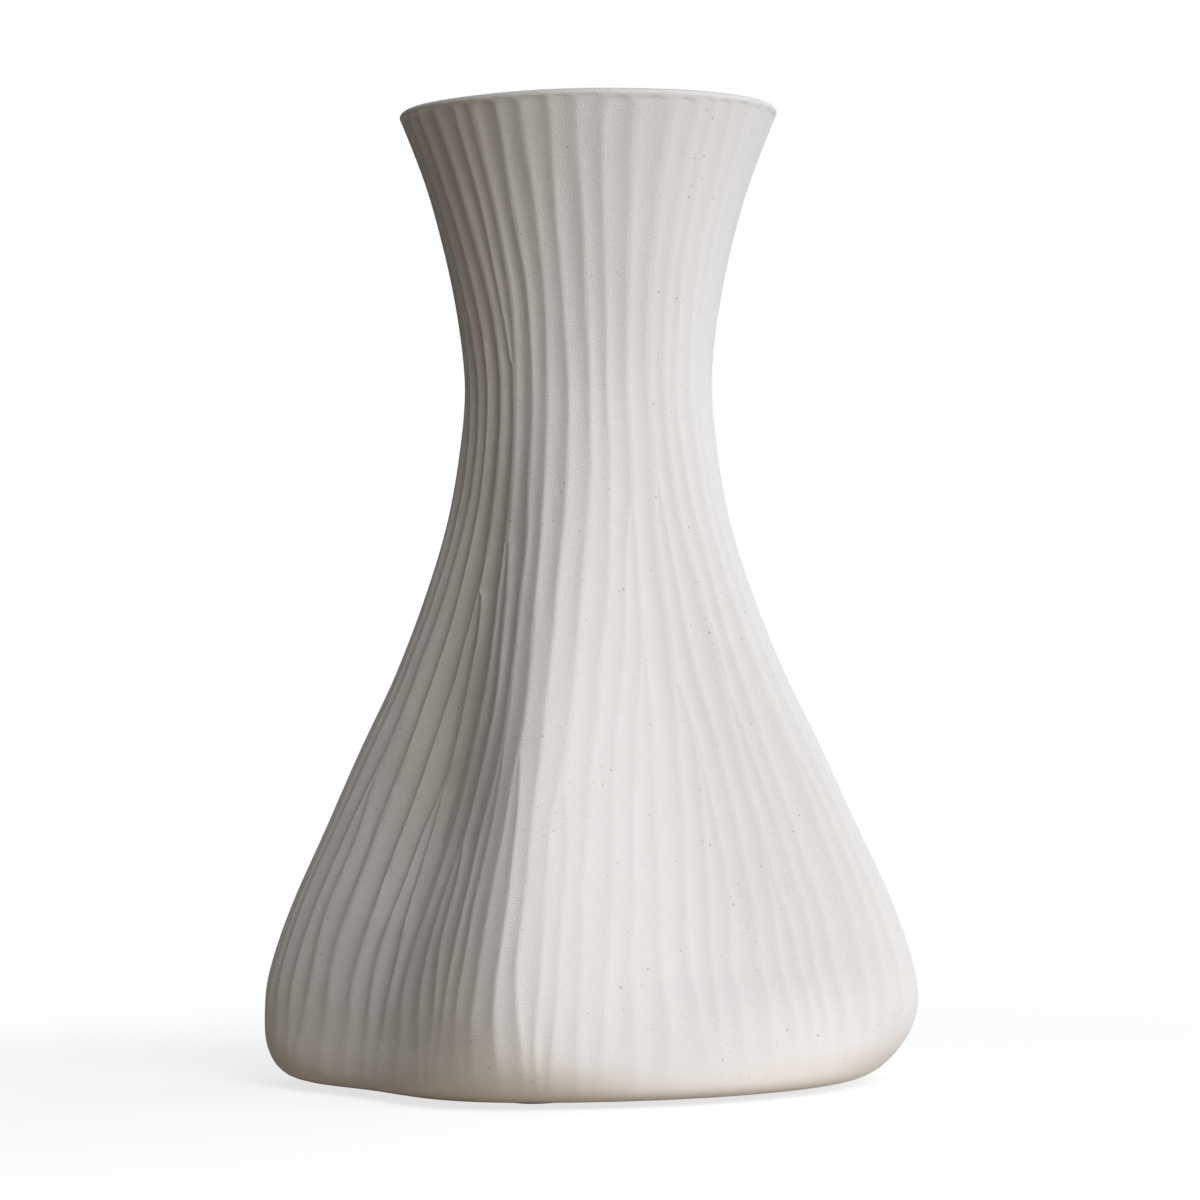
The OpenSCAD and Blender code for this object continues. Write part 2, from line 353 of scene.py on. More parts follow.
    def turn_up(self, z: np.ndarray) -> np.ndarray:
        """Turn of the inner side from lying on the floor, 0, to standing as the wall, a right angle."""
        return np.arccos(np.clip(1 - (z - self.floor_height) / self.inner_corner, 0, 1))

    def corner_rise(self, rows: int) -> np.ndarray:
        """Heights down the soft corner inside, in even turns from the wall to the floor."""
        return self.floor_height + self.inner_corner * (1 - np.cos(np.linspace(QUARTER, 0, rows)))

    def inner_radius(self, z: np.ndarray, angle: np.ndarray) -> np.ndarray:
        """Radius of the wall's inner side: the floor's edge, a soft corner, then the wall's own thickness.

        Args:
            z: Heights.
            angle: Angles.

        Returns:
            Radius at each height and angle.
        """
        clear = np.maximum(z, self.floor_height + self.inner_corner)
        wall = self.corner_radius(clear) * self.section_share(clear, angle) - self.wall(clear)
        return mix(self.floor_edge(angle), wall, np.sin(self.turn_up(z)))

    def floor_edge(self, angle: np.ndarray) -> np.ndarray:
        """Radius of the floor slab's edge, the foot's own section inside the foot ring."""
        return (self.foot_radius - self.foot_ring) * self.section_share(np.zeros_like(angle), angle)


def even_places(columns: int) -> np.ndarray:
    """Even places round the whole vase, as a row, from the far left corner on."""
    return np.linspace(-SIDE_PLACES, (SIDES - 1) * SIDE_PLACES, columns, endpoint=False)[None, :]


def closed_mesh(name: str, grid: np.ndarray, caps: tuple[bool, bool]) -> bpy.types.Object:
    """Makes a piece from a grid of places that closes round its columns.

    Each row is a ring, and the rings go up an outer side with the columns counter-clockwise seen from above,
    so that the faces point outwards. A cap closes the first or the last ring with a fan round the ring's
    middle. Without caps the last ring joins the first.

    Args:
        name: Name of the piece.
        grid: Array of rings, columns and x, y, z in millimetres.
        caps: Whether the first and the last ring are closed by a fan.

    Returns:
        The object, whose mesh is in metres.
    """
    rings, columns = grid.shape[:2]
    points = grid.reshape(-1, 3)
    here = np.arange(columns)
    beside = (here + 1) % columns
    starts = columns * np.arange(rings - 1 if any(caps) else rings)[:, None]
    low, low_next = (starts + here).ravel(), (starts + beside).ravel()
    high, high_next = (low + columns) % (rings * columns), (low_next + columns) % (rings * columns)
    faces = np.stack([low, low_next, high_next, high], 1).tolist()
    for closes, ring, turned in ((caps[0], 0, True), (caps[1], rings - 1, False)):
        if closes:
            edge = [ring * columns + here, ring * columns + beside]
            middle = np.full(columns, len(points))
            points = np.vstack([points, grid[ring].mean(0)])
            faces += np.stack([*(edge[::-1] if turned else edge), middle], 1).tolist()
    mesh = bpy.data.meshes.new(name)
    mesh.from_pydata((points * MM).tolist(), [], faces)
    mesh.polygons.foreach_set("use_smooth", np.ones(len(mesh.polygons), bool))
    mesh.set_sharp_from_angle(angle=SHARP_ANGLE)
    mesh.update()
    piece = bpy.data.objects.new(name, mesh)
    bpy.context.scene.collection.objects.link(piece)
    return piece


@dataclass(frozen=True)
class Ridge:
    """A ridge between two flutes: rows of (share of the height, place in tenths of a side), from the foot up.

    Above and below its own rows the ridge lies against the neighbour that it joins.
    """

    rows: Rows
    joins: Joins = Joins.LEFT


# The ridges, read off one by one: the left side's from its far corner, place -10, to the near left corner, 0,
# and the front side's from there to the near right corner, 10
RIDGES = (
    Ridge(((0, -9.7), (0.3, -9.7), (0.55, -9.5), (0.75, -9.5), (1, -9.6))),
    Ridge(((0, -9.2), (0.3, -9.3), (0.55, -8.9), (0.7, -8.5), (1, -8.7))),
    Ridge(((0, -8.8), (0.15, -8.95), (0.3, -9.0), (0.42, -8.6), (0.55, -8.1), (0.7, -7.5), (1, -7.8))),
    Ridge(((0, -8.0), (0.06, -8.2), (0.11, -8.5), (0.19, -8.65), (0.25, -8.75), (0.31, -8.6), (0.38, -8.3),
           (0.44, -8.0), (0.49, -7.65), (0.55, -7.2), (0.64, -6.4), (0.74, -6.1), (1, -6.9))),
    Ridge(((0, -7.3), (0.05, -7.6), (0.09, -7.85), (0.14, -8.0), (0.19, -8.0), (0.25, -8.15), (0.28, -8.1),
           (0.31, -7.9), (0.36, -7.6), (0.4, -7.5), (0.45, -7.2), (0.5, -6.8), (0.55, -6.4), (0.64, -5.4),
           (0.74, -5.05), (1, -6.0))),
    Ridge(((0, -7.1), (0.05, -7.2), (0.08, -7.2), (0.11, -7.3), (0.16, -7.5), (0.24, -7.6), (0.29, -7.7),
           (0.315, -7.85))),
    Ridge(((0, -6.0), (0.03, -6.2), (0.07, -6.45), (0.1, -6.65), (0.13, -6.75), (0.2, -6.8), (0.25, -6.95),
           (0.3, -6.9), (0.35, -6.7), (0.4, -6.5), (0.45, -6.1), (0.5, -5.7), (0.55, -5.3), (0.62, -4.6),
           (0.67, -4.2), (0.75, -4.0), (0.8, -4.15), (0.87, -4.5), (0.92, -4.8), (1, -5.1))),
    Ridge(((0, -5.2), (0.02, -5.3), (0.06, -5.65), (0.09, -5.75), (0.13, -5.9), (0.2, -5.9), (0.25, -5.95),
           (0.31, -5.8), (0.36, -5.5), (0.41, -5.2), (0.44, -4.8), (0.48, -4.6), (0.5, -4.1), (0.56, -3.8),
           (0.6, -3.5), (0.635, -3.2), (0.67, -3.05), (0.74, -2.95), (0.81, -3.2), (0.85, -3.4), (0.88, -3.6),
           (0.92, -3.8), (1, -4.0))),
    Ridge(((0, -4.4), (0.025, -4.5), (0.04, -4.8), (0.1, -5.1), (0.14, -5.3), (0.18, -5.15), (0.26, -5.05),
           (0.29, -4.9), (0.315, -4.5), (0.33, -4.4), (0.37, -4.3), (0.41, -4.1), (0.44, -3.9), (0.48, -3.6),
           (0.5, -4.0))),
    Ridge(((0, -4.1), (0.08, -4.3), (0.16, -4.5), (0.2, -4.55), (0.25, -4.65), (0.28, -4.6), (0.31, -4.5))),
    Ridge(((0.735, -2.1), (0.76, -2.3), (0.8, -2.45), (0.85, -2.6), (0.9, -2.75), (0.94, -2.9), (1, -2.9)),
          Joins.RIGHT),
    Ridge(((0, -3.2), (0.03, -3.25), (0.05, -3.3), (0.08, -3.55), (0.105, -3.6), (0.125, -3.85),
           (0.14, -3.75), (0.18, -3.45), (0.22, -3.35), (0.27, -3.2), (0.305, -3.0), (0.35, -2.7),
           (0.39, -2.5), (0.43, -2.35), (0.48, -2.3), (0.53, -2.4), (0.55, -2.1), (0.58, -2.1),
           (0.61, -2.05), (0.65, -1.95), (0.69, -2.0), (0.72, -2.0), (0.755, -1.9), (0.78, -1.8),
           (0.82, -1.85), (0.86, -2.0), (0.9, -2.1), (0.95, -2.2), (1, -2.2))),
    Ridge(((0, -2.4), (0.04, -2.5), (0.07, -2.7), (0.1, -2.8), (0.135, -2.95), (0.19, -2.65), (0.225, -2.55),
           (0.25, -2.25), (0.3, -2.0), (0.34, -1.75), (0.37, -1.65), (0.41, -1.6), (0.46, -1.7), (0.5, -1.8),
           (0.52, -1.7), (0.55, -2.1))),
    Ridge(((0, -2.2), (0.065, -2.15), (0.09, -2.1), (0.13, -2.25), (0.155, -2.3), (0.2, -2.1), (0.235, -2.05),
           (0.25, -2.2))),
    Ridge(((0, -1.9), (0.065, -1.85), (0.09, -1.8), (0.16, -1.6), (0.21, -1.45), (0.24, -1.4), (0.28, -1.25),
           (0.32, -1.0), (0.35, -0.8), (0.4, -0.85), (0.45, -0.85), (0.5, -0.9), (0.55, -0.8), (0.6, -0.95),
           (0.67, -0.85), (0.72, -0.9), (0.78, -0.9), (0.82, -0.95), (0.86, -1.1), (0.9, -1.2), (0.93, -1.2),
           (1, -1.15))),
    Ridge(((0, -1.3), (0.05, -1.3), (0.085, -1.4), (0.14, -1.25), (0.165, -1.2), (0.22, -1.0), (0.25, -0.9),
           (0.28, -0.85), (0.33, -0.7), (0.355, -0.8))),
    Ridge(((0, -0.9), (0.06, -0.9), (0.1, -0.8), (0.15, -0.75), (0.2, -0.55), (0.25, -0.4), (0.29, -0.3),
           (0.315, -0.3), (0.34, -0.1), (0.4, -0.1), (0.45, -0.1), (0.5, -0.15), (0.6, -0.1), (0.66, -0.1),
           (0.71, -0.05), (0.75, -0.1), (0.785, 0.0), (0.83, -0.1), (0.87, -0.15), (0.93, -0.3), (1, -0.3))),
    Ridge(((0, -0.15), (0.07, -0.2), (0.11, -0.2), (0.16, -0.1), (0.22, 0.05), (0.28, 0.05), (0.31, 0.1),
           (0.335, -0.1))),
    Ridge(((0, 0.6), (0.04, 0.6), (0.07, 0.5), (0.11, 0.35), (0.15, 0.4), (0.19, 0.45), (0.25, 0.55),
           (0.29, 0.55), (0.35, 0.65), (0.41, 0.7), (0.47, 0.8), (0.52, 0.85), (0.57, 0.95), (0.61, 1.05),
           (0.66, 1.1), (0.71, 1.1), (0.76, 0.95), (0.8, 0.85), (0.85, 0.7), (0.9, 0.7), (0.95, 0.7),
           (0.98, 0.75), (1, 0.75))),
    Ridge(((0, 0.9), (0.09, 0.9), (0.13, 0.95), (0.18, 1.0), (0.24, 1.0), (0.28, 1.05), (0.305, 1.3),
           (0.35, 1.35), (0.39, 1.5), (0.45, 1.65), (0.5, 1.75), (0.53, 1.9), (0.58, 2.1), (0.62, 2.15),
           (0.7, 2.15), (0.74, 2.1), (0.8, 1.95), (0.85, 1.85), (0.9, 1.75), (0.95, 1.6), (1, 1.6))),
    Ridge(((0, 1.15), (0.03, 1.2), (0.07, 1.3), (0.1, 1.3), (0.16, 1.4), (0.2, 1.45), (0.28, 1.48),
           (0.305, 1.3))),
    Ridge(((0, 1.75), (0.04, 1.8), (0.08, 1.85), (0.13, 1.85), (0.19, 1.9), (0.25, 1.95), (0.3, 2.05),
           (0.35, 2.25), (0.39, 2.4), (0.43, 2.5), (0.46, 2.65), (0.5, 2.9), (0.56, 3.05), (0.62, 3.2),
           (0.66, 3.1), (0.71, 3.0), (0.76, 2.95), (0.82, 2.85), (0.87, 2.7), (0.95, 2.55), (1, 2.6))),
    Ridge(((0, 2.2), (0.02, 2.2), (0.06, 2.4), (0.1, 2.35), (0.15, 2.5), (0.2, 2.6), (0.26, 2.75),
           (0.33, 2.9), (0.36, 2.95), (0.39, 3.1), (0.43, 3.4), (0.46, 3.6), (0.52, 3.7), (0.56, 3.9),
           (0.585, 4.3)), Joins.RIGHT),
    Ridge(((0, 2.9), (0.04, 2.95), (0.08, 3.0), (0.12, 2.95), (0.16, 3.0), (0.2, 3.2), (0.26, 3.3),
           (0.31, 3.5), (0.34, 3.65), (0.38, 3.85), (0.4, 3.9), (0.43, 4.25), (0.46, 4.3), (0.52, 4.3),
           (0.56, 4.35), (0.6, 4.3), (0.64, 4.25), (0.69, 4.15), (0.75, 4.05), (0.8, 4.0), (0.86, 3.85),
           (0.93, 3.7), (1, 3.65))),
    Ridge(((0, 3.4), (0.02, 3.5), (0.08, 3.65), (0.11, 3.75), (0.13, 3.7), (0.15, 3.75), (0.19, 3.85),
           (0.24, 4.0), (0.28, 4.1), (0.32, 4.25), (0.36, 4.4), (0.4, 4.4), (0.425, 4.25))),
    Ridge(((0, 4.3), (0.06, 4.3), (0.09, 4.3), (0.14, 4.4), (0.19, 4.55), (0.215, 4.7), (0.25, 5.0),
           (0.3, 5.15), (0.33, 5.2), (0.37, 5.3), (0.405, 5.5), (0.45, 5.45), (0.5, 5.5), (0.555, 5.4),
           (0.59, 5.4), (0.63, 5.55), (0.65, 5.5), (0.7, 5.3), (0.75, 5.1), (0.8, 5.0), (0.88, 4.95),
           (1, 4.9))),
    Ridge(((0, 4.5), (0.06, 4.6), (0.1, 4.8), (0.14, 5.0), (0.17, 5.1), (0.2, 5.3), (0.23, 5.4), (0.26, 5.6),
           (0.3, 5.75), (0.33, 5.95), (0.36, 5.95), (0.39, 5.75), (0.405, 5.5))),
    Ridge(((0, 4.9), (0.04, 4.95), (0.07, 5.1), (0.11, 5.3), (0.15, 5.5), (0.19, 5.7), (0.215, 5.9),
           (0.25, 5.95), (0.29, 6.0), (0.32, 5.95))),
    Ridge(((0, 5.5), (0.04, 5.6), (0.07, 5.7), (0.1, 5.9), (0.14, 6.1), (0.19, 6.3), (0.25, 6.5), (0.3, 6.65),
           (0.33, 6.6), (0.37, 6.6), (0.4, 6.45), (0.45, 6.35), (0.5, 6.25), (0.55, 6.1), (0.6, 5.9),
           (0.63, 5.55))),
    Ridge(((0, 6.0), (0.05, 6.2), (0.11, 6.4), (0.16, 6.6), (0.2, 6.8), (0.24, 7.05), (0.31, 7.15),
           (0.38, 7.25), (0.41, 7.4), (0.46, 7.3), (0.5, 7.2), (0.54, 7.0), (0.58, 6.8), (0.62, 6.6),
           (0.67, 6.35), (0.71, 6.25), (0.76, 6.05), (0.82, 5.95), (0.9, 5.95), (1, 5.9))),
    Ridge(((0, 6.5), (0.06, 6.6), (0.12, 6.85), (0.17, 7.0), (0.19, 6.9))),
    Ridge(((0, 6.6), (0.02, 6.7), (0.06, 6.95), (0.1, 7.1), (0.15, 7.3), (0.2, 7.4), (0.26, 7.6), (0.34, 7.6),
           (0.38, 7.55), (0.4, 7.4))),
    Ridge(((0, 7.3), (0.05, 7.4), (0.1, 7.5), (0.16, 7.7), (0.22, 7.85), (0.28, 8.0), (0.32, 8.0),
           (0.38, 8.05), (0.43, 8.0), (0.48, 7.9), (0.52, 7.9), (0.57, 7.8), (0.62, 7.5), (0.66, 7.3),
           (0.71, 7.05), (0.77, 6.9), (0.83, 6.7), (0.88, 6.75), (1, 6.7))),
    Ridge(((0, 7.9), (0.1, 8.1), (0.2, 8.5), (0.3, 8.75), (0.4, 8.8), (0.5, 8.7), (0.58, 8.55), (0.64, 8.45),
           (0.72, 8.1), (0.8, 7.8), (0.85, 7.75), (0.92, 7.8), (1, 7.5))),
    Ridge(((0, 8.4), (0.1, 8.6), (0.2, 8.9), (0.3, 9.1), (0.37, 8.8))),
    Ridge(((0, 9.0), (0.15, 9.2), (0.3, 9.5), (0.5, 9.4), (0.7, 9.0), (0.85, 8.7), (1, 8.6))),
    Ridge(((0, 9.6), (0.2, 9.7), (0.4, 9.8), (0.7, 9.8), (1, 9.6))),
)


@dataclass(frozen=True)
class FlutedSkin:
    """The clay's carved outer surface, which the wall and the lip coil above it share.

    Lengths are in millimetres, and values in fours belong to the sides front, right, back and left. The left
    side was carved deeper: its flutes have an extra cut, which fades at its corners, up the neck and towards
    the foot.
    """

    form: VaseForm
    columns_per_flute: int = 7
    crowding: float = 0.2
    band: float = 0.05
    straightening: float = 0.03
    straightening_steps: int = 5
    slide: Four = (0.0, 0.0, 0.0, -5.5)
    wander: float = 0.02
    wander_lengths: tuple[float, ...] = (61.0, 31.0)
    unit_neck: float = 5.1
    unit_base: float = 12.2
    steepness: Curve = Curve(((0, 0.32), (0.3, 0.29), (0.5, 0.32), (0.7, 0.35), (1, 0.36)))
    narrow_width: float = 1.0
    rounding: float = 0.18
    rounding_power: int = 12
    extra_cut: Four = (0.0, 0.0, 0.0, 2.1)
    extra_cut_neck: float = 0.6
    extra_cut_foot: float = 0.25
    extra_cut_zone: Span = (16.0, 62.0)
    extra_cut_corner: float = 0.25
    firmness: float = 0.16
    firmness_lengths: tuple[float, ...] = (90.0, 47.0)
    tremble: float = 0.05
    tremble_lengths: tuple[float, ...] = (23.0, 11.0)
    unevenness: float = 0.3
    uneven_length: float = 55.0
    worn: float = 0.28
    worn_foot: float = 5.0
    worn_lip: float = 25.0
    end_heights: Four = (13.0, 13.0, 13.0, 19.5)
    end_scatter: float = 3.0
    end_run: float = 11.0
    end_bow: float = 2.5
    trace: float = 0.3
    top_gap: float = 1.9
    top_scatter: float = 0.3
    top_run: float = 0.8
    top_bow: float = 1.2

    def ridge_places(self, z: np.ndarray) -> np.ndarray:
        """Place of every ridge round the whole vase at each height, in tenths of a side.

        The near half is the table of ridges, each straightened a little by the mean of its curve just below
        and above. The far half is the same carving mirrored at the near right corner. Outside its own rows a
        ridge keeps one band's width beside the neighbour that it joins. Where a side was beaten in, its
        ridges slid sideways by a multiple of the dish.

        Args:
            z: Heights, as a column.

        Returns:
            Array of one row per height and one column per ridge, rising along each row.
        """
        form = self.form
        share = z[:, 0] / form.height
        near = np.zeros((len(share), len(RIDGES)))
        own = np.zeros(near.shape, bool)
        reach = self.straightening * np.linspace(-1, 1, self.straightening_steps)
        for k, ridge in enumerate(RIDGES):
            near[:, k] = np.mean([Curve(ridge.rows).at(share + step) for step in reach], 0)
            own[:, k] = (share >= ridge.rows[0][0]) & (share <= ridge.rows[-1][0])
        for k, ridge in reversed(list(enumerate(RIDGES))):
            if ridge.joins is Joins.RIGHT:
                near[:, k] = np.where(own[:, k], near[:, k], near[:, k + 1] - self.band)
        for k, ridge in enumerate(RIDGES):
            if k and ridge.joins is Joins.LEFT:
                near[:, k] = np.where(own[:, k], near[:, k], near[:, k - 1] + self.band)
        drifted = near + self.wander * waves(np.arange(len(RIDGES)), z, self.wander_lengths, Seed.WANDER)
        for k in range(1, len(RIDGES)):
            drifted[:, k] = np.maximum(drifted[:, k], drifted[:, k - 1] + self.band)
        slide = np.array(self.slide)[np.floor(drifted / SIDE_PLACES).astype(int) % SIDES]
        slid = drifted + slide * form.dish(z, form.bearing(drifted, z))
        return np.concatenate([slid, 2 * SIDE_PLACES - drifted[:, ::-1]], 1)

    def columns(self, z: np.ndarray) -> tuple[np.ndarray, np.ndarray, np.ndarray, np.ndarray]:
        """Columns of the grid, crowded towards the ridges by a sine.

        Args:
            z: Heights, as a column.

        Returns:
            Number of each column's flute, its share of the flute's width, its place in tenths of a side at
            each height, and the flute's width there.
        """
        ridges = self.ridge_places(z)
        following = np.roll(ridges, -1, 1)
        following[:, -1] += SIDES * SIDE_PLACES
        step = np.arange(self.columns_per_flute) / self.columns_per_flute
        across = step - self.crowding * np.sin(TURN * step) / TURN
        flute = np.repeat(np.arange(ridges.shape[1]), self.columns_per_flute)
        u = np.tile(across, ridges.shape[1])[None, :]
        width = (following - ridges)[:, flute]
        return flute, u, ridges[:, flute] + u * width, width

    def depth(self, flute: np.ndarray, place: np.ndarray, width: np.ndarray, z: np.ndarray) -> np.ndarray:
        """Depth of the flutes in their middles, as the tool was pressed.

        A wide flute is a quarter of its steepness times its width deep, and a narrow one less. The pressure
        changes slowly along a flute and trembles a little, by sums of waves.

        Args:
            flute: Number of each column's flute.
            place: Each column's place at each height.
            width: The flute's width there, in tenths of a side.
            z: Heights, as a column.

        Returns:
            Depth in millimetres for each height and column.
        """
        form = self.form
        across = width * mix(self.unit_neck, self.unit_base, form.along(form.spread, z))
        plain = form.along(self.steepness, z) / 4 * across**2 / (across + self.narrow_width)
        share = place / SIDE_PLACES - np.floor(place / SIDE_PLACES)
        low, high = self.extra_cut_zone
        extra = np.array(self.extra_cut)[self.side_of(place)]
        extra = extra * ease(share / self.extra_cut_corner) * ease((1 - share) / self.extra_cut_corner)
        extra = extra * mix(self.extra_cut_foot, 1.0, ease((z - low) / (high - low)))
        extra = extra * mix(self.extra_cut_neck, 1.0, form.along(form.spread, z))
        pressed = 1 + self.firmness * waves(flute, z, self.firmness_lengths, Seed.FIRMNESS)
        pressed = pressed + self.tremble * waves(flute, z, self.tremble_lengths, Seed.TREMBLE)
        return plain * (1 + extra) * pressed

    @staticmethod
    def side_of(place: np.ndarray) -> np.ndarray:
        """Number of the side on which each column mostly runs."""
        return np.floor(place.mean(0) / SIDE_PLACES).astype(int) % SIDES

    def ends(self, flute: np.ndarray, side: np.ndarray, bowed: np.ndarray, z: np.ndarray) -> np.ndarray:
        """Share of its depth that a flute has near its two ends, which are bowed across the flute.

        Below its lower end a flute goes on as a faint trace that is gone at the underside. Its upper end runs
        out just under the lip.

        Args:
            flute: Number of each column's flute.
            side: Number of each column's side.
            bowed: How far across its flute each column lies, 0 in the middle and 1 at the ridges.
            z: Heights, as a column.

        Returns:
            Share for each height and column.
        """
        rng = np.random.default_rng(Seed.FLUTE_ENDS)
        flutes = flute[-1] + 1
        low_end = np.array(self.end_heights)[side] + self.end_scatter * rng.uniform(-1, 1, flutes)[flute]
        high_end = self.form.height - self.top_gap + self.top_scatter * rng.uniform(-1, 1, flutes)[flute]
        rising = mix(self.trace, 1.0, ease((z - low_end - self.end_bow * bowed) / self.end_run + 0.5))
        falling = ease((high_end - self.top_bow * bowed - z) / self.top_run + 0.5)
        return rising * ease(2 * z / low_end) * falling

    def radius(self, z: np.ndarray) -> tuple[np.ndarray, np.ndarray]:
        """Radius and angle of every column at each height.

        Each flute is a scallop cut into the smooth form: one less the square of twice its width share less
        one, with its ridges rounded off by a high power of the same. The clay was worn a little all over, and
        it is hollow in places, by a slow sum of waves. Both fade out at the foot and the lip.

        Args:
            z: Heights, as a column.

        Returns:
            Radius and angle, each for every height and column.
        """
        form = self.form
        flute, u, place, width = self.columns(z)
        bowed = (2 * u - 1) ** 2 * (1 + self.rounding) - self.rounding * (2 * u - 1) ** self.rounding_power
        ends = self.ends(flute, self.side_of(place), bowed, z)
        cut = self.depth(flute, place, width, z) * (1 - bowed) * ends
        angle = form.bearing(place, z)
        smooth = form.outside(z, angle)
        hollow = 0.5 + 0.5 * lumps(form.points(smooth, angle, z), self.uneven_length, Seed.HOLLOWS)
        fade = ease(z / self.worn_foot) * ease((form.height - z) / self.worn_lip)
        return smooth - cut - (self.worn + self.unevenness * np.maximum(hollow, 0)) * fade, angle

    def grid(self, z: np.ndarray) -> np.ndarray:
        """Grid of the skin's places at the given heights."""
        return self.form.points(*self.radius(z), z)


class Piece:
    """What every piece has: a slot for its finish, and a way to be dressed and to stand in for its node."""

    slot: ClassVar[Slot] = Slot.CLAY

    def dress(self, piece: bpy.types.Object, finishes: dict[Slot, bpy.types.Material], node: str) -> None:
        """Gives a built piece its one material, rides it on the vase's body and lets it replace its node.

        Args:
            piece: The object that the piece's class built.
            finishes: The material of each slot.
            node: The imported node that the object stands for.
        """
        piece.data.materials.clear()
        piece.data.materials.append(finishes[self.slot])
        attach(piece, BODY)
        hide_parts(node)
        LOG.info("%s: %d faces", piece.name, len(piece.data.polygons))


@dataclass(frozen=True)
class CarvedWall(Piece):
    """The thrown and squared wall with its carved flutes, from the foot ring to the seat of the lip coil."""

    skin: FlutedSkin
    foot_rows: int = 16
    body_rows: int = 142
    top_rows: int = 5
    inner_rows: int = 14
    corner_rows: int = 5
    top_zone: float = 4.0

    def rows(self) -> np.ndarray:
        """Heights of the outer side's rings: close over the foot's curve and under the lip, even between.

        Returns:
            The heights, as a column.
        """
        form = self.skin.form
        foot = form.belly_height * (1 - np.cos(np.linspace(0, QUARTER, self.foot_rows)))
        body = np.linspace(form.belly_height, form.seat_height - self.top_zone, self.body_rows)
        top = np.linspace(form.seat_height - self.top_zone, form.seat_height, self.top_rows)
        return np.concatenate([foot, body[1:], top[1:]])[:, None]

    def inside(self) -> np.ndarray:
        """Grid of the inner side from the seat to the underside, at the outer surface's own columns.

        Returns:
            Grid of the rings from the top down.
        """
        form = self.skin.form
        wall = np.linspace(form.seat_height, form.floor_height + form.inner_corner, self.inner_rows)
        z = np.concatenate([wall[:-1], form.corner_rise(self.corner_rows), [0.0]])[:, None]
        place = self.skin.columns(np.array([[form.seat_height]]))[2]
        angle = form.bearing(place, z)
        return form.points(form.inner_radius(np.maximum(z, form.floor_height), angle), angle, z)

    def build(self) -> bpy.types.Object:
        """Makes the wall as one closed shell: up the outside, over the seat, down the inside."""
        grid = np.concatenate([self.skin.grid(self.rows()), self.inside()])
        return closed_mesh("carved_wall_clay", grid, (False, False))


@dataclass(frozen=True)
class LipCoil(Piece):
    """The coil that rounds off the mouth, over whose outer side the flutes run out."""

    skin: FlutedSkin
    rounding: float = 1.3
    side_rows: int = 12
    round_rows: int = 7
    inner_rows: int = 4
    wobble: float = 0.22
    wobble_length: float = 46.0

    def build(self) -> bpy.types.Object:
        """Makes the coil: the skin goes on up its outer side, and two quarter turns lead to its inner side.

        The inner side slopes at half the neck's flare. The top is a little uneven where fingers smoothed it.

        Returns:
            The coil as one closed ring.
        """
        form = self.skin.form
        bend = form.height - self.rounding
        side = np.linspace(form.seat_height, bend, self.side_rows)[:, None]
        radius, angle = self.skin.radius(side)
        outer, angle = radius[-1:], angle[-1:]
        plain = form.corner_radius(np.array([form.seat_height, bend]))
        inner_low = plain[0] - form.neck_wall - form.glaze
        inner_top = inner_low + (plain[1] - plain[0]) / 2
        turn = np.linspace(0, QUARTER, self.round_rows)[:, None]
        falling, rising = 1 - np.cos(turn[1:]), 1 - np.sin(turn)
        down = np.linspace(inner_top, inner_low, self.inner_rows)[1:, None]
        crown = np.concatenate([
            outer - self.rounding * falling,
            inner_top + self.rounding * rising + 0 * outer,
            down + 0 * outer,
        ])
        crown_z = np.concatenate([
            bend + self.rounding * np.sin(turn[1:]),
            bend + self.rounding * np.cos(turn),
            np.linspace(bend, form.seat_height, self.inner_rows)[1:, None],
        ])
        grid = np.concatenate([self.skin.grid(side), form.points(crown, angle, crown_z)])
        lift = ease((grid[..., 2] - form.pad_height - form.seat_height) / (form.height - form.seat_height))
        uneven = np.clip(0.5 + 0.5 * lumps(grid * [1, 1, 0], self.wobble_length, Seed.LIP), 0, 1)
        grid[..., 2] -= self.wobble * lift * uneven
        return closed_mesh("lip_coil_clay", grid, (False, False))


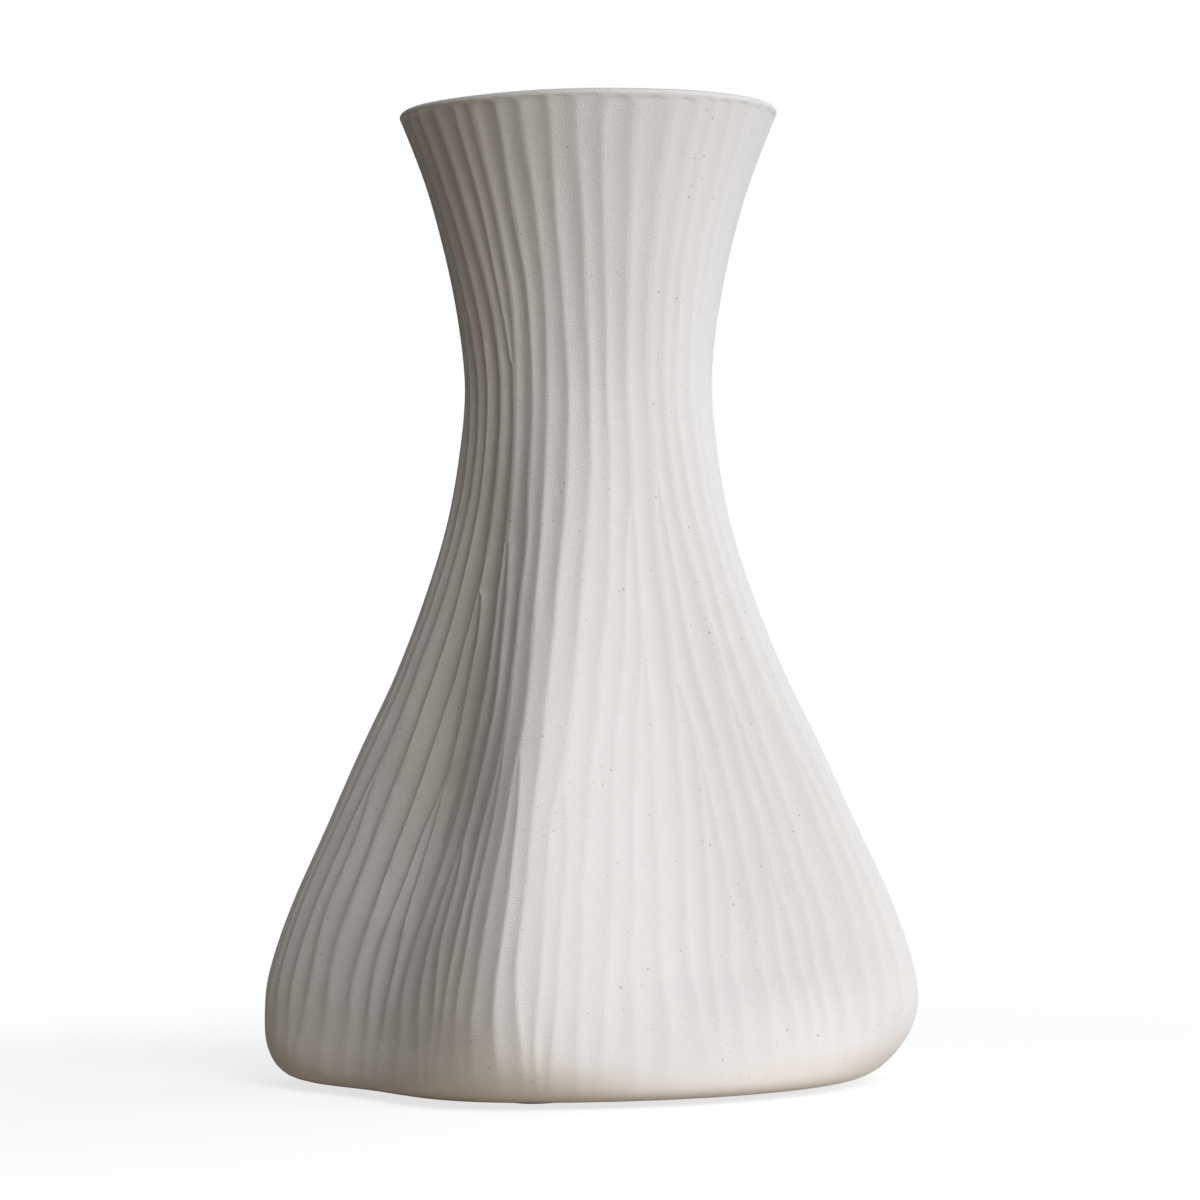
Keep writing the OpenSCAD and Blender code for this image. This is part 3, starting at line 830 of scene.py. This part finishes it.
@dataclass(frozen=True)
class GlazeCoat(Piece):
    """The liner glaze over the floor and up the inner wall, thin and uneven, with a wavy upper edge."""

    slot: ClassVar[Slot] = Slot.GLAZE
    form: VaseForm
    columns: int = 240
    wall_rows: int = 70
    corner_rows: int = 10
    floor_rows: int = 12
    floor_middle: float = 0.04
    edge_zone: float = 6.0
    edge_drop: float = 0.5
    edge_wave: float = 0.35
    edge_angles: tuple[float, ...] = (120.0, 51.4, 24.0)
    unevenness: float = 0.3
    uneven_length: float = 24.0

    def side(self, depth: float) -> np.ndarray:
        """Grid of one side of the coat from the edge under the lip down to the middle of the floor.

        Args:
            depth: Distance from the clay, 0 for the side that lies on it.

        Returns:
            Grid of the rings from the top down.
        """
        form = self.form
        place = even_places(self.columns)
        wall = np.linspace(form.seat_height, form.floor_height + form.inner_corner, self.wall_rows)
        z = np.concatenate([wall[:-1], form.corner_rise(self.corner_rows)])[:, None]
        angle = form.bearing(place, z)
        up = form.turn_up(z)
        clay = form.inner_radius(z, angle)
        near_edge = ease((z - form.seat_height + self.edge_zone) / self.edge_zone)
        wavy = waves(np.zeros(1, int), angle, self.edge_angles, Seed.GLAZE_EDGE)
        height = z + depth * np.cos(up) - near_edge * (self.edge_drop + self.edge_wave * wavy)
        plain = form.points(clay - depth * np.sin(up), angle, height)
        uneven = 1 + self.unevenness * lumps(plain, self.uneven_length, Seed.GLAZE_DEPTH)
        upright = form.points(clay - depth * uneven * np.sin(up), angle, height)
        shrink = np.linspace(1, self.floor_middle, self.floor_rows)[1:, None]
        level = np.full_like(shrink, form.floor_height + depth)
        return np.concatenate([upright, form.points(form.floor_edge(angle[-1:]) * shrink, angle[-1:], level)])

    def build(self) -> bpy.types.Object:
        """Closes the side on the clay and the glossy side into one thin shell."""
        back, front = self.side(0.0), self.side(self.form.glaze)
        return closed_mesh("liner_glaze_coat", np.concatenate([back[::-1], front]), (True, True))


@dataclass(frozen=True)
class FloorSlab(Piece):
    """The rolled slab luted into the foot, a little hollow beneath, with a smoothed joint round its edge."""

    form: VaseForm
    columns: int = 240
    rows: int = 26
    middle: float = 0.02
    hollow: float = 0.5
    hollow_run: float = 9.0
    joint_width: float = 2.2
    joint_depth: float = 0.35
    pressed_depth: float = 0.06
    pressed_run: float = 6.0
    pressed_length: float = 17.0

    def build(self) -> bpy.types.Object:
        """Makes the underside as rings that shrink to the middle, and the top as one ring and a fan.

        The joint is a bell curve of the distance from the edge, and the hollow a parabola.

        Returns:
            The slab as one closed solid.
        """
        form = self.form
        place = even_places(self.columns)
        angle = form.bearing(place, np.zeros((1, 1)))
        edge = form.floor_edge(angle)
        share = np.sin(np.linspace(self.middle, QUARTER, self.rows))[:, None]
        inset = edge * (1 - share)
        joint = self.joint_depth * np.exp(-((inset / self.joint_width) ** 2))
        z = joint + self.hollow * (1 - share**2) * ease(inset / self.hollow_run)
        under = form.points(edge * share, angle, z)
        pressed = lumps(under, self.pressed_length, Seed.SLAB) * ease(inset / self.pressed_run)
        under[..., 2] += self.pressed_depth * np.abs(pressed)
        top = form.points(edge, angle, np.full_like(angle, form.floor_height))
        return closed_mesh("floor_slab_clay", np.concatenate([under, top]), (True, True))


@dataclass(frozen=True)
class FeltPads(Piece):
    """Four round pads of pressed felt under the corners of the base."""

    slot: ClassVar[Slot] = Slot.FELT
    count: int = 4
    radius: float = 6.0
    rounding: float = 0.35
    columns: int = 72
    edge_rows: int = 5
    fuzz: float = 0.05
    fuzz_length: float = 2.4

    def build(self, node: str, seed: int) -> bpy.types.Object:
        """Makes one pad: a disc whose cut edge is softly rounded and a little ragged.

        Args:
            node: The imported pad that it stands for, which gives its place.
            seed: Seed of the ragged edge.

        Returns:
            The pad as one closed solid.
        """
        low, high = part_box(node)
        middle = np.array([(low.x + high.x) / 2, (low.y + high.y) / 2, 0]) / MM
        height = (high.z - low.z) / MM
        turn = np.linspace(0, QUARTER, self.edge_rows)
        edge_r = self.radius - self.rounding + self.rounding * np.sin(turn)
        edge_z = self.rounding - self.rounding * np.cos(turn)
        r = np.concatenate([[self.radius / 2], edge_r, edge_r[::-1], [self.radius / 2]])[:, None]
        z = np.concatenate([[0], edge_z, height - edge_z[::-1], [height]])[:, None]
        angle = np.linspace(0, TURN, self.columns, endpoint=False)
        disc = np.stack(np.broadcast_arrays(r * np.cos(angle), r * np.sin(angle), z), -1)
        ragged = 1 - self.fuzz / self.radius * (1 + lumps(disc, self.fuzz_length, seed))
        disc[..., :2] *= ragged[..., None]
        return closed_mesh(node + "_felt", disc + middle, (True, True))


class NodeWork:
    """A shader node tree, with short ways to add nodes and to feed their inputs.

    The Mix node has sockets for every kind of value. MIX_INPUTS and MIX_OUTPUT are those for colours.
    """

    MIX_INPUTS: tuple[int, int, int] = (0, 6, 7)
    MIX_OUTPUT: int = 2

    def __init__(self, tree: bpy.types.NodeTree) -> None:
        """Keeps the tree."""
        self.tree = tree

    def add(self, kind: str, **settings: object) -> bpy.types.Node:
        """Adds a shader node.

        Args:
            kind: Its kind, without ShaderNode.
            settings: Its properties.

        Returns:
            The node.
        """
        node = self.tree.nodes.new("ShaderNode" + kind)
        for key, value in settings.items():
            setattr(node, key, value)
        return node

    def feed(self, slot: bpy.types.NodeSocket, value: object) -> None:
        """Links a socket to an input, or sets the input to a plain value.

        Args:
            slot: The input.
            value: A node's output, a number or a colour.
        """
        if isinstance(value, bpy.types.NodeSocket):
            self.tree.links.new(value, slot)
        else:
            slot.default_value = value

    def math(self, kind: str, first: object, second: object, third: object = 0.0) -> bpy.types.NodeSocket:
        """Adds a Math node.

        Args:
            kind: Its operation.
            first: Socket or number.
            second: Socket or number.
            third: Socket or number, for an operation that takes three.

        Returns:
            The result's socket.
        """
        node = self.add("Math", operation=kind)
        for slot, value in zip(node.inputs, (first, second, third)):
            self.feed(slot, value)
        return node.outputs[0]

    def blend(self, factor: object, first: object, second: object) -> bpy.types.NodeSocket:
        """Mixes two colours.

        Args:
            factor: Share of the second, a socket or a number.
            first: Socket or colour.
            second: Socket or colour.

        Returns:
            The mixed colour's socket.
        """
        node = self.add("Mix", data_type="RGBA")
        for number, value in zip(self.MIX_INPUTS, (factor, first, second)):
            self.feed(node.inputs[number], value)
        return node.outputs[self.MIX_OUTPUT]

    def shade(self, factor: object, first: object, second: object) -> bpy.types.NodeSocket:
        """Mixes two shaders.

        Args:
            factor: Share of the second, a socket or a number.
            first: Socket of a shader.
            second: Socket of a shader.

        Returns:
            The mixed shader's socket.
        """
        node = self.add("MixShader")
        for slot, value in zip(node.inputs, (factor, first, second)):
            self.feed(slot, value)
        return node.outputs[0]

    def band(self, value: bpy.types.NodeSocket, low: float, high: float) -> bpy.types.NodeSocket:
        """Smooth step of a value.

        Args:
            value: The value's socket.
            low: Value up to which the step is 0.
            high: Value from which it is 1.

        Returns:
            The step's socket.
        """
        node = self.add("MapRange", interpolation_type="SMOOTHSTEP")
        for label, number in (("Value", value), ("From Min", low), ("From Max", high)):
            self.feed(node.inputs[label], number)
        return node.outputs["Result"]


class NodeGroup(NodeWork):
    """A shader node group with named inputs and outputs, built once and placed in many materials."""

    def __init__(self, name: str, inputs: dict[str, float], *outputs: str) -> None:
        """Makes the group's sockets.

        Args:
            name: Name of the group.
            inputs: Default of each number that the group takes, besides the place.
            outputs: Names of the numbers that it gives.
        """
        super().__init__(bpy.data.node_groups.new(name, "ShaderNodeTree"))
        new_socket = self.tree.interface.new_socket
        new_socket("Place", in_out="INPUT", socket_type="NodeSocketVector")
        for label, value in inputs.items():
            new_socket(label, in_out="INPUT", socket_type="NodeSocketFloat").default_value = value
        for label in outputs:
            new_socket(label, in_out="OUTPUT", socket_type="NodeSocketFloat")
        self.source = self.tree.nodes.new("NodeGroupInput").outputs
        self.sink = self.tree.nodes.new("NodeGroupOutput").inputs

    def noise(self, scale: str, detail: float, roughness: float = 0.5) -> bpy.types.NodeSocket:
        """Adds a noise texture on the group's place.

        Args:
            scale: Name of the group's input that holds the noise's scale.
            detail: Number of its octaves.
            roughness: Weight of each octave against the one before.

        Returns:
            The socket of its value of 0 to 1.
        """
        node = self.add("TexNoise")
        self.feed(node.inputs["Vector"], self.source["Place"])
        self.feed(node.inputs["Scale"], self.source[scale])
        self.feed(node.inputs["Detail"], detail)
        self.feed(node.inputs["Roughness"], roughness)
        return node.outputs["Fac"]


class Effects:
    """The shared effects: sandy grain, specks in the body, and broad mottling."""

    GRAIN: dict[str, float] = {"Fine scale": 3300.0, "Coarse scale": 1200.0, "Coarse share": 0.08}
    GRAIN_BAND: Span = (0.28, 0.72)
    FLECK_BAND: Span = (0.3, 0.7)
    SPECKS: dict[str, float] = {"Scale": 300.0, "Amount": 0.2, "Size": 0.12, "Cluster scale": 45.0}
    CLUSTER_BAND: Span = (0.35, 0.65)
    CLUSTER_AMOUNT: Span = (0.15, 1.85)
    SPECK_SIZES: Span = (0.35, 1.25)
    SPECK_EDGE: Span = (0.6, 1.1)
    MOTTLE: dict[str, float] = {"Scale": 22.0}
    CLOUD_BAND: Span = (0.3, 0.7)

    def __init__(self) -> None:
        """Builds the groups."""
        self.grain = self.sandy_grain()
        self.specks = self.body_specks()
        self.mottle = self.broad_mottle()

    def sandy_grain(self) -> bpy.types.NodeTree:
        """Grain of two sizes: fine sand and the coarser grog that a wet sponge lays bare.

        Returns:
            The group. Its Height is about 0 to 1, and its Tint a light and dark fleck of the same grains.
        """
        group = NodeGroup("sandy_grain", self.GRAIN, "Height", "Tint")
        fine = group.noise("Fine scale", detail=2.0, roughness=0.6)
        blend = group.add("Mix", data_type="FLOAT")
        group.feed(blend.inputs["Factor"], group.source["Coarse share"])
        group.feed(blend.inputs["A"], fine)
        group.feed(blend.inputs["B"], group.noise("Coarse scale", detail=1.0))
        group.feed(group.sink["Height"], group.band(blend.outputs["Result"], *self.GRAIN_BAND))
        group.feed(group.sink["Tint"], group.band(fine, *self.FLECK_BAND))
        return group.tree

    def body_specks(self) -> bpy.types.NodeTree:
        """Round specks in loose clusters: a cell's point shows where its random number is under Amount.

        Size is the speck's radius as a share of a cell. A slow noise nearly doubles the amount inside a
        cluster and nearly clears it outside.

        Returns:
            The group, whose Mask is 1 in a speck.
        """
        group = NodeGroup("body_specks", self.SPECKS, "Mask")
        cells = group.add("TexVoronoi", feature="F1")
        group.feed(cells.inputs["Vector"], group.source["Place"])
        group.feed(cells.inputs["Scale"], group.source["Scale"])
        group.feed(cells.inputs["Randomness"], 1.0)
        split = group.add("SeparateColor")
        group.feed(split.inputs["Color"], cells.outputs["Color"])
        cluster = group.band(group.noise("Cluster scale", detail=2.0), *self.CLUSTER_BAND)
        few, many = self.CLUSTER_AMOUNT
        crowding = group.math("MULTIPLY_ADD", cluster, many - few, few)
        limit = group.math("MULTIPLY", group.source["Amount"], crowding)
        chosen = group.math("LESS_THAN", split.outputs["Red"], limit)
        small, large = self.SPECK_SIZES
        spread = group.math("MULTIPLY_ADD", split.outputs["Green"], large - small, small)
        radius = group.math("MULTIPLY", group.source["Size"], spread)
        edge = group.math("DIVIDE", cells.outputs["Distance"], radius)
        inside = group.math("SUBTRACT", 1.0, group.band(edge, *self.SPECK_EDGE))
        group.feed(group.sink["Mask"], group.math("MULTIPLY", inside, chosen))
        return group.tree

    def broad_mottle(self) -> bpy.types.NodeTree:
        """Slow cloudy variation, as of a slip that dried unevenly.

        Returns:
            The group, whose Cloud is 0 to 1.
        """
        group = NodeGroup("broad_mottle", self.MOTTLE, "Cloud")
        cloud = group.noise("Scale", detail=3.0, roughness=0.55)
        group.feed(group.sink["Cloud"], group.band(cloud, *self.CLOUD_BAND))
        return group.tree


class Finish(NodeWork):
    """A material with the Principled shader, object coordinates and helpers to place the shared effects."""

    def __init__(self, slot: Slot) -> None:
        """Makes the material, its shader and its coordinates.

        Args:
            slot: The slot that the material fills.
        """
        self.material = bpy.data.materials.new(slot.value)
        self.material.use_nodes = True
        super().__init__(self.material.node_tree)
        self.shader = self.tree.nodes["Principled BSDF"]
        self.place = self.add("TexCoord").outputs["Object"]

    def effect(self, group: bpy.types.NodeTree, **values: float) -> bpy.types.bpy_prop_collection:
        """Places a shared effect.

        Args:
            group: The effect's node group.
            values: The group's own inputs, whose names have _ for a space.

        Returns:
            The outputs of the placed group.
        """
        node = self.add("Group", node_tree=group)
        self.feed(node.inputs["Place"], self.place)
        for label, value in values.items():
            self.feed(node.inputs[label.replace("_", " ").capitalize()], value)
        return node.outputs

    def low_down(self, zone: Span, uneven: bpy.types.NodeSocket) -> bpy.types.NodeSocket:
        """Mask of what lies low on the object.

        Args:
            zone: Heights in metres under which the mask is 1 and above which it is 0.
            uneven: Value of 0 to 1 that makes the mask's edge uneven.

        Returns:
            The mask's socket.
        """
        split = self.add("SeparateXYZ")
        self.feed(split.inputs[0], self.place)
        low, high = zone
        height = self.math("MULTIPLY_ADD", uneven, low - high, split.outputs["Z"])
        return self.math("SUBTRACT", 1.0, self.band(height, 2 * low - high, high))

    def relief(self, height: bpy.types.NodeSocket, depth: float) -> None:
        """Feeds a height of 0 to 1 into the shader's normal.

        Args:
            height: The height's socket.
            depth: Depth of the relief in metres.
        """
        bump = self.add("Bump")
        self.feed(bump.inputs["Strength"], 1.0)
        self.feed(bump.inputs["Distance"], depth)
        self.feed(bump.inputs["Height"], height)
        self.set(Normal=bump.outputs["Normal"])

    def set(self, **values: object) -> None:
        """Sets or links the shader's inputs, whose names have _ for a space."""
        for label, value in values.items():
            self.feed(self.shader.inputs[label.replace("_", " ")], value)


@dataclass(frozen=True)
class BareClay:
    """Unglazed pale stoneware: matte and sandy, with clustered specks and pinholes, sponged at the foot."""

    colour: Colour = (0.815, 0.80, 0.775, 1.0)
    warm: Colour = (0.80, 0.775, 0.735, 1.0)
    sand: Colour = (0.70, 0.68, 0.65, 1.0)
    speck: Colour = (0.30, 0.28, 0.25, 1.0)
    foot: Colour = (0.76, 0.715, 0.66, 1.0)
    foot_zone: Span = (0.004, 0.014)
    sponge_zone: Span = (0.008, 0.02)
    sponging: float = 0.75
    warm_share: float = 0.5
    sand_share: float = 0.15
    speck_share: float = 0.6
    dot_share: float = 0.6
    pit_depth: float = 0.8
    relief_depth: float = 0.00009
    roughness: float = 0.86
    grain_roughness: float = 0.08
    gloss: float = 0.25

    def make(self, effects: Effects) -> bpy.types.Material:
        """Builds the material.

        Args:
            effects: The shared effects.

        Returns:
            The material.
        """
        finish = Finish(Slot.CLAY)
        cloud = finish.effect(effects.mottle, scale=16.0)["Cloud"]
        grain = finish.effect(effects.grain)
        specks = finish.effect(effects.specks, scale=340.0, amount=0.2, size=0.11)["Mask"]
        dots = finish.effect(effects.specks, scale=700.0, amount=0.16, size=0.17)["Mask"]
        body = finish.blend(finish.math("MULTIPLY", cloud, self.warm_share), self.colour, self.warm)
        # A warmer, darker tint towards the underside, its upper edge made uneven by the mottle.
        footed = finish.blend(finish.low_down(self.foot_zone, cloud), body, self.foot)
        sandy = finish.blend(finish.math("MULTIPLY", grain["Tint"], self.sand_share), footed, self.sand)
        marks = finish.math("MAXIMUM", specks, finish.math("MULTIPLY", dots, self.dot_share))
        marked = finish.blend(finish.math("MULTIPLY", marks, self.speck_share), sandy, self.speck)
        pits = finish.math("MULTIPLY", finish.math("MAXIMUM", specks, dots), -self.pit_depth)
        sponged = finish.math("MULTIPLY_ADD", finish.low_down(self.sponge_zone, cloud), -self.sponging, 1.0)
        sand = finish.math("MULTIPLY", grain["Height"], sponged)
        finish.relief(finish.math("ADD", sand, pits), self.relief_depth)
        rough = finish.math("MULTIPLY_ADD", grain["Tint"], self.grain_roughness, self.roughness)
        finish.set(Base_Color=marked, Roughness=rough, Specular_IOR_Level=self.gloss)
        return finish.material


@dataclass(frozen=True)
class LinerGlaze:
    """Clear glossy liner glaze over the pale body, a little greyer and darker where it pools."""

    colour: Colour = (0.76, 0.755, 0.72, 1.0)
    pooled: Colour = (0.66, 0.66, 0.61, 1.0)
    speck: Colour = (0.34, 0.31, 0.26, 1.0)
    speck_share: float = 0.5
    relief_depth: float = 0.00012
    roughness: float = 0.14
    pooled_roughness: float = 0.1
    coat: float = 0.3
    coat_roughness: float = 0.08

    def make(self, effects: Effects) -> bpy.types.Material:
        """Builds the material.

        Args:
            effects: The shared effects.

        Returns:
            The material.
        """
        finish = Finish(Slot.GLAZE)
        cloud = finish.effect(effects.mottle, scale=60.0)["Cloud"]
        specks = finish.effect(effects.specks, scale=240.0, amount=0.14, size=0.14)["Mask"]
        body = finish.blend(cloud, self.colour, self.pooled)
        marked = finish.blend(finish.math("MULTIPLY", specks, self.speck_share), body, self.speck)
        finish.relief(finish.effect(effects.mottle, scale=420.0)["Cloud"], self.relief_depth)
        rough = finish.math("MULTIPLY_ADD", cloud, self.pooled_roughness, self.roughness)
        finish.set(Base_Color=marked, Roughness=rough, Coat_Weight=self.coat,
                   Coat_Roughness=self.coat_roughness)
        return finish.material


@dataclass(frozen=True)
class PressedFelt:
    """Pressed wool felt of mixed oat and grey fibres."""

    colour: Colour = (0.50, 0.46, 0.40, 1.0)
    fibre: Colour = (0.68, 0.64, 0.57, 1.0)
    fleck: Colour = (0.26, 0.24, 0.21, 1.0)
    fleck_share: float = 0.5
    relief_depth: float = 0.00025
    roughness: float = 0.98
    sheen: float = 0.35
    sheen_roughness: float = 0.5
    gloss: float = 0.1

    def make(self, effects: Effects) -> bpy.types.Material:
        """Builds the material.

        Args:
            effects: The shared effects.

        Returns:
            The material.
        """
        finish = Finish(Slot.FELT)
        grain = finish.effect(effects.grain, fine_scale=3400.0, coarse_scale=1500.0, coarse_share=0.5)
        wool = grain["Height"]
        flecks = finish.effect(effects.specks, scale=900.0, amount=0.2, size=0.3)["Mask"]
        body = finish.blend(wool, self.colour, self.fibre)
        marked = finish.blend(finish.math("MULTIPLY", flecks, self.fleck_share), body, self.fleck)
        finish.relief(wool, self.relief_depth)
        finish.set(Base_Color=marked, Roughness=self.roughness, Sheen_Weight=self.sheen,
                   Sheen_Roughness=self.sheen_roughness, Specular_IOR_Level=self.gloss)
        return finish.material


@dataclass(frozen=True)
class Lamp:
    """A soft square lamp that faces the vase.

    Its bearing is counted from the camera's own, to the right, and its rise from the table, both in degrees.
    """

    name: str
    bearing: float
    rise: float
    watts: float
    colour: tuple[float, float, float]
    distance: float = 2.2
    size: float = 1.2

    def place(self, camera_bearing: float, aim: Vector) -> None:
        """Hangs the lamp and turns it to face the aim.

        Args:
            camera_bearing: Bearing of the camera in degrees.
            aim: The place that the lamp faces.
        """
        turn = math.radians(camera_bearing + self.bearing)
        rise = math.radians(self.rise)
        way = Vector((math.sin(turn) * math.cos(rise), -math.cos(turn) * math.cos(rise), math.sin(rise)))
        light = bpy.data.lights.new(self.name, "AREA")
        light.shape = "SQUARE"
        light.size = self.size
        light.energy = self.watts
        light.color = self.colour
        lamp = bpy.data.objects.new(self.name, light)
        lamp.location = aim + way * self.distance
        lamp.rotation_euler = way.to_track_quat("Z", "Y").to_euler()
        bpy.context.scene.collection.objects.link(lamp)


@dataclass(frozen=True)
class Studio:
    """The pale table, the white surroundings, the lamps and the camera."""

    camera_bearing: float = -31.0
    camera_distance: float = 1.194
    camera_height: float = 0.101
    camera_roll: float = 0.0162
    camera_reach: float = 50.0
    focal_pixels: float = 4642.0
    principal_column: float = 580.5
    horizon_row: float = 691.1
    picture_pixels: float = 1200.0
    sensor: float = 36.0
    table_size: float = 12.0
    table_colour: Colour = (0.70, 0.62, 0.51, 1.0)
    table_zone: Span = (0.3, 0.7)
    beyond_table: Colour = (0.0, 0.0, 0.0, 1.0)
    shadow_zone: Span = (0.12, 0.4)
    shadow_weight: float = 0.42
    shadow_lift: float = 0.74
    fill_colour: Colour = (1.0, 0.85, 0.83, 1.0)
    fill_strength: float = 0.04
    white: Colour = (1.0, 1.0, 1.0, 1.0)
    lamps: tuple[Lamp, ...] = (
        Lamp("window_lamp", 60.0, 4.0, 36.6, (0.94, 0.94, 1.0)),
        Lamp("rear_lamp", 125.0, 4.0, 24.7, (0.76, 0.87, 1.0)),
        Lamp("front_lamp", 15.0, 20.0, 10.1, (1.0, 0.95, 0.81)),
        Lamp("high_lamp", 30.0, 40.0, 15.3, (0.83, 0.88, 1.0)),
        Lamp("back_lamp", -120.0, 65.0, 5.0, (0.94, 0.95, 1.0)),
        Lamp("top_lamp", 0.0, 80.0, 2.6, (1.0, 0.98, 0.96)),
    )

    def camera(self) -> None:
        """Places the camera level with a point low on the vase, rolled and shifted as in the picture."""
        turn = math.radians(self.camera_bearing)
        right = Vector((math.cos(turn), math.sin(turn), 0))
        back = Vector((math.sin(turn), -math.cos(turn), 0))
        up = Vector((0, 0, 1))
        facing = Matrix((right, up, back)).transposed().to_4x4()
        lens = bpy.data.cameras.new("portrait_camera")
        lens.sensor_width = self.sensor
        lens.lens = self.focal_pixels * self.sensor / self.picture_pixels
        lens.shift_x = 0.5 - self.principal_column / self.picture_pixels
        lens.shift_y = self.horizon_row / self.picture_pixels - 0.5
        lens.clip_end = self.camera_reach
        camera = bpy.data.objects.new("portrait_camera", lens)
        stand = back * self.camera_distance + up * self.camera_height
        camera.matrix_world = Matrix.Translation(stand) @ facing @ Matrix.Rotation(-self.camera_roll, 4, "Z")
        bpy.context.scene.collection.objects.link(camera)
        bpy.context.scene.camera = camera

    def table(self) -> None:
        """Lays the floor: a pale warm table that lights the vase, shown as white with the shadow kept.

        Both zones are distances from the vase: over the first the table's own colour ends, and over the
        second the shadow that the camera sees fades into plain white.
        """
        half = self.table_size / 2
        corners = [(-half, -half, 0), (half, -half, 0), (half, half, 0), (-half, half, 0)]
        mesh = bpy.data.meshes.new("table_top")
        mesh.from_pydata(corners, [], [(0, 1, 2, 3)])
        floor = bpy.data.objects.new("table_top", mesh)
        bpy.context.scene.collection.objects.link(floor)
        material = bpy.data.materials.new("table_top")
        material.use_nodes = True
        work = NodeWork(material.node_tree)
        work.tree.nodes.remove(work.tree.nodes["Principled BSDF"])
        reach = work.add("VectorMath", operation="LENGTH")
        work.feed(reach.inputs[0], work.add("TexCoord").outputs["Object"])
        off_table = work.band(reach.outputs["Value"], *self.table_zone)
        off_shadow = work.band(reach.outputs["Value"], *self.shadow_zone)
        paint = work.add("BsdfDiffuse")
        work.feed(paint.inputs["Color"], work.blend(off_table, self.table_colour, self.beyond_table))
        catcher = work.add("BsdfDiffuse")
        work.feed(catcher.inputs["Color"], (self.shadow_weight,) * 3 + (1.0,))
        lift = work.add("Emission")
        work.feed(lift.inputs["Strength"], self.shadow_lift)
        shaded = work.add("AddShader")
        work.feed(shaded.inputs[0], catcher.outputs[0])
        work.feed(shaded.inputs[1], lift.outputs[0])
        shown = work.shade(off_shadow, shaded.outputs[0], work.add("Emission").outputs[0])
        seen = work.add("LightPath").outputs["Is Camera Ray"]
        surface = work.tree.nodes["Material Output"].inputs["Surface"]
        work.feed(surface, work.shade(seen, paint.outputs[0], shown))
        mesh.materials.append(material)

    def surroundings(self) -> None:
        """Sets the world: white to the camera and through glass, a dim warm fill to the surfaces."""
        world = bpy.data.worlds.new("studio_white")
        bpy.context.scene.world = world
        world.use_nodes = True
        work = NodeWork(world.node_tree)
        fill = work.tree.nodes["Background"]
        white = work.add("Background")
        lights = ((fill, self.fill_colour, self.fill_strength), (white, self.white, 1.0))
        for light, colour, strength in lights:
            work.feed(light.inputs["Color"], colour)
            work.feed(light.inputs["Strength"], strength)
        path = work.add("LightPath").outputs
        seen = work.math("MAXIMUM", path["Is Camera Ray"], path["Is Transmission Ray"])
        surface = work.tree.nodes["World Output"].inputs["Surface"]
        work.feed(surface, work.shade(seen, fill.outputs[0], white.outputs[0]))

    def light(self, aim: Vector) -> None:
        """Hangs every lamp round the vase."""
        for lamp in self.lamps:
            lamp.place(self.camera_bearing, aim)


def main() -> None:
    """Builds, dresses and lights the vase."""
    logging.basicConfig(level=logging.INFO, format="%(name)s %(message)s")
    effects = Effects()
    finishes = {
        Slot.CLAY: BareClay().make(effects),
        Slot.GLAZE: LinerGlaze().make(effects),
        Slot.FELT: PressedFelt().make(effects),
    }
    form = VaseForm.from_frame()
    skin = FlutedSkin(form)
    makers = {
        "carved_wall": CarvedWall(skin),
        "rim_coil": LipCoil(skin),
        "glaze_lining": GlazeCoat(form),
        "floor_slab": FloorSlab(form),
    }
    for node, maker in makers.items():
        maker.dress(maker.build(), finishes, node)
    pads = FeltPads()
    for number in range(1, pads.count + 1):
        node = f"foot_pad_{number}"
        pads.dress(pads.build(node, Seed.PADS + number), finishes, node)
    studio = Studio()
    studio.camera()
    studio.table()
    studio.surroundings()
    studio.light(Vector((0, 0, form.height * MM / 2)))
    bpy.context.scene.view_settings.view_transform = "Standard"


if __name__ == "__main__":
    main()
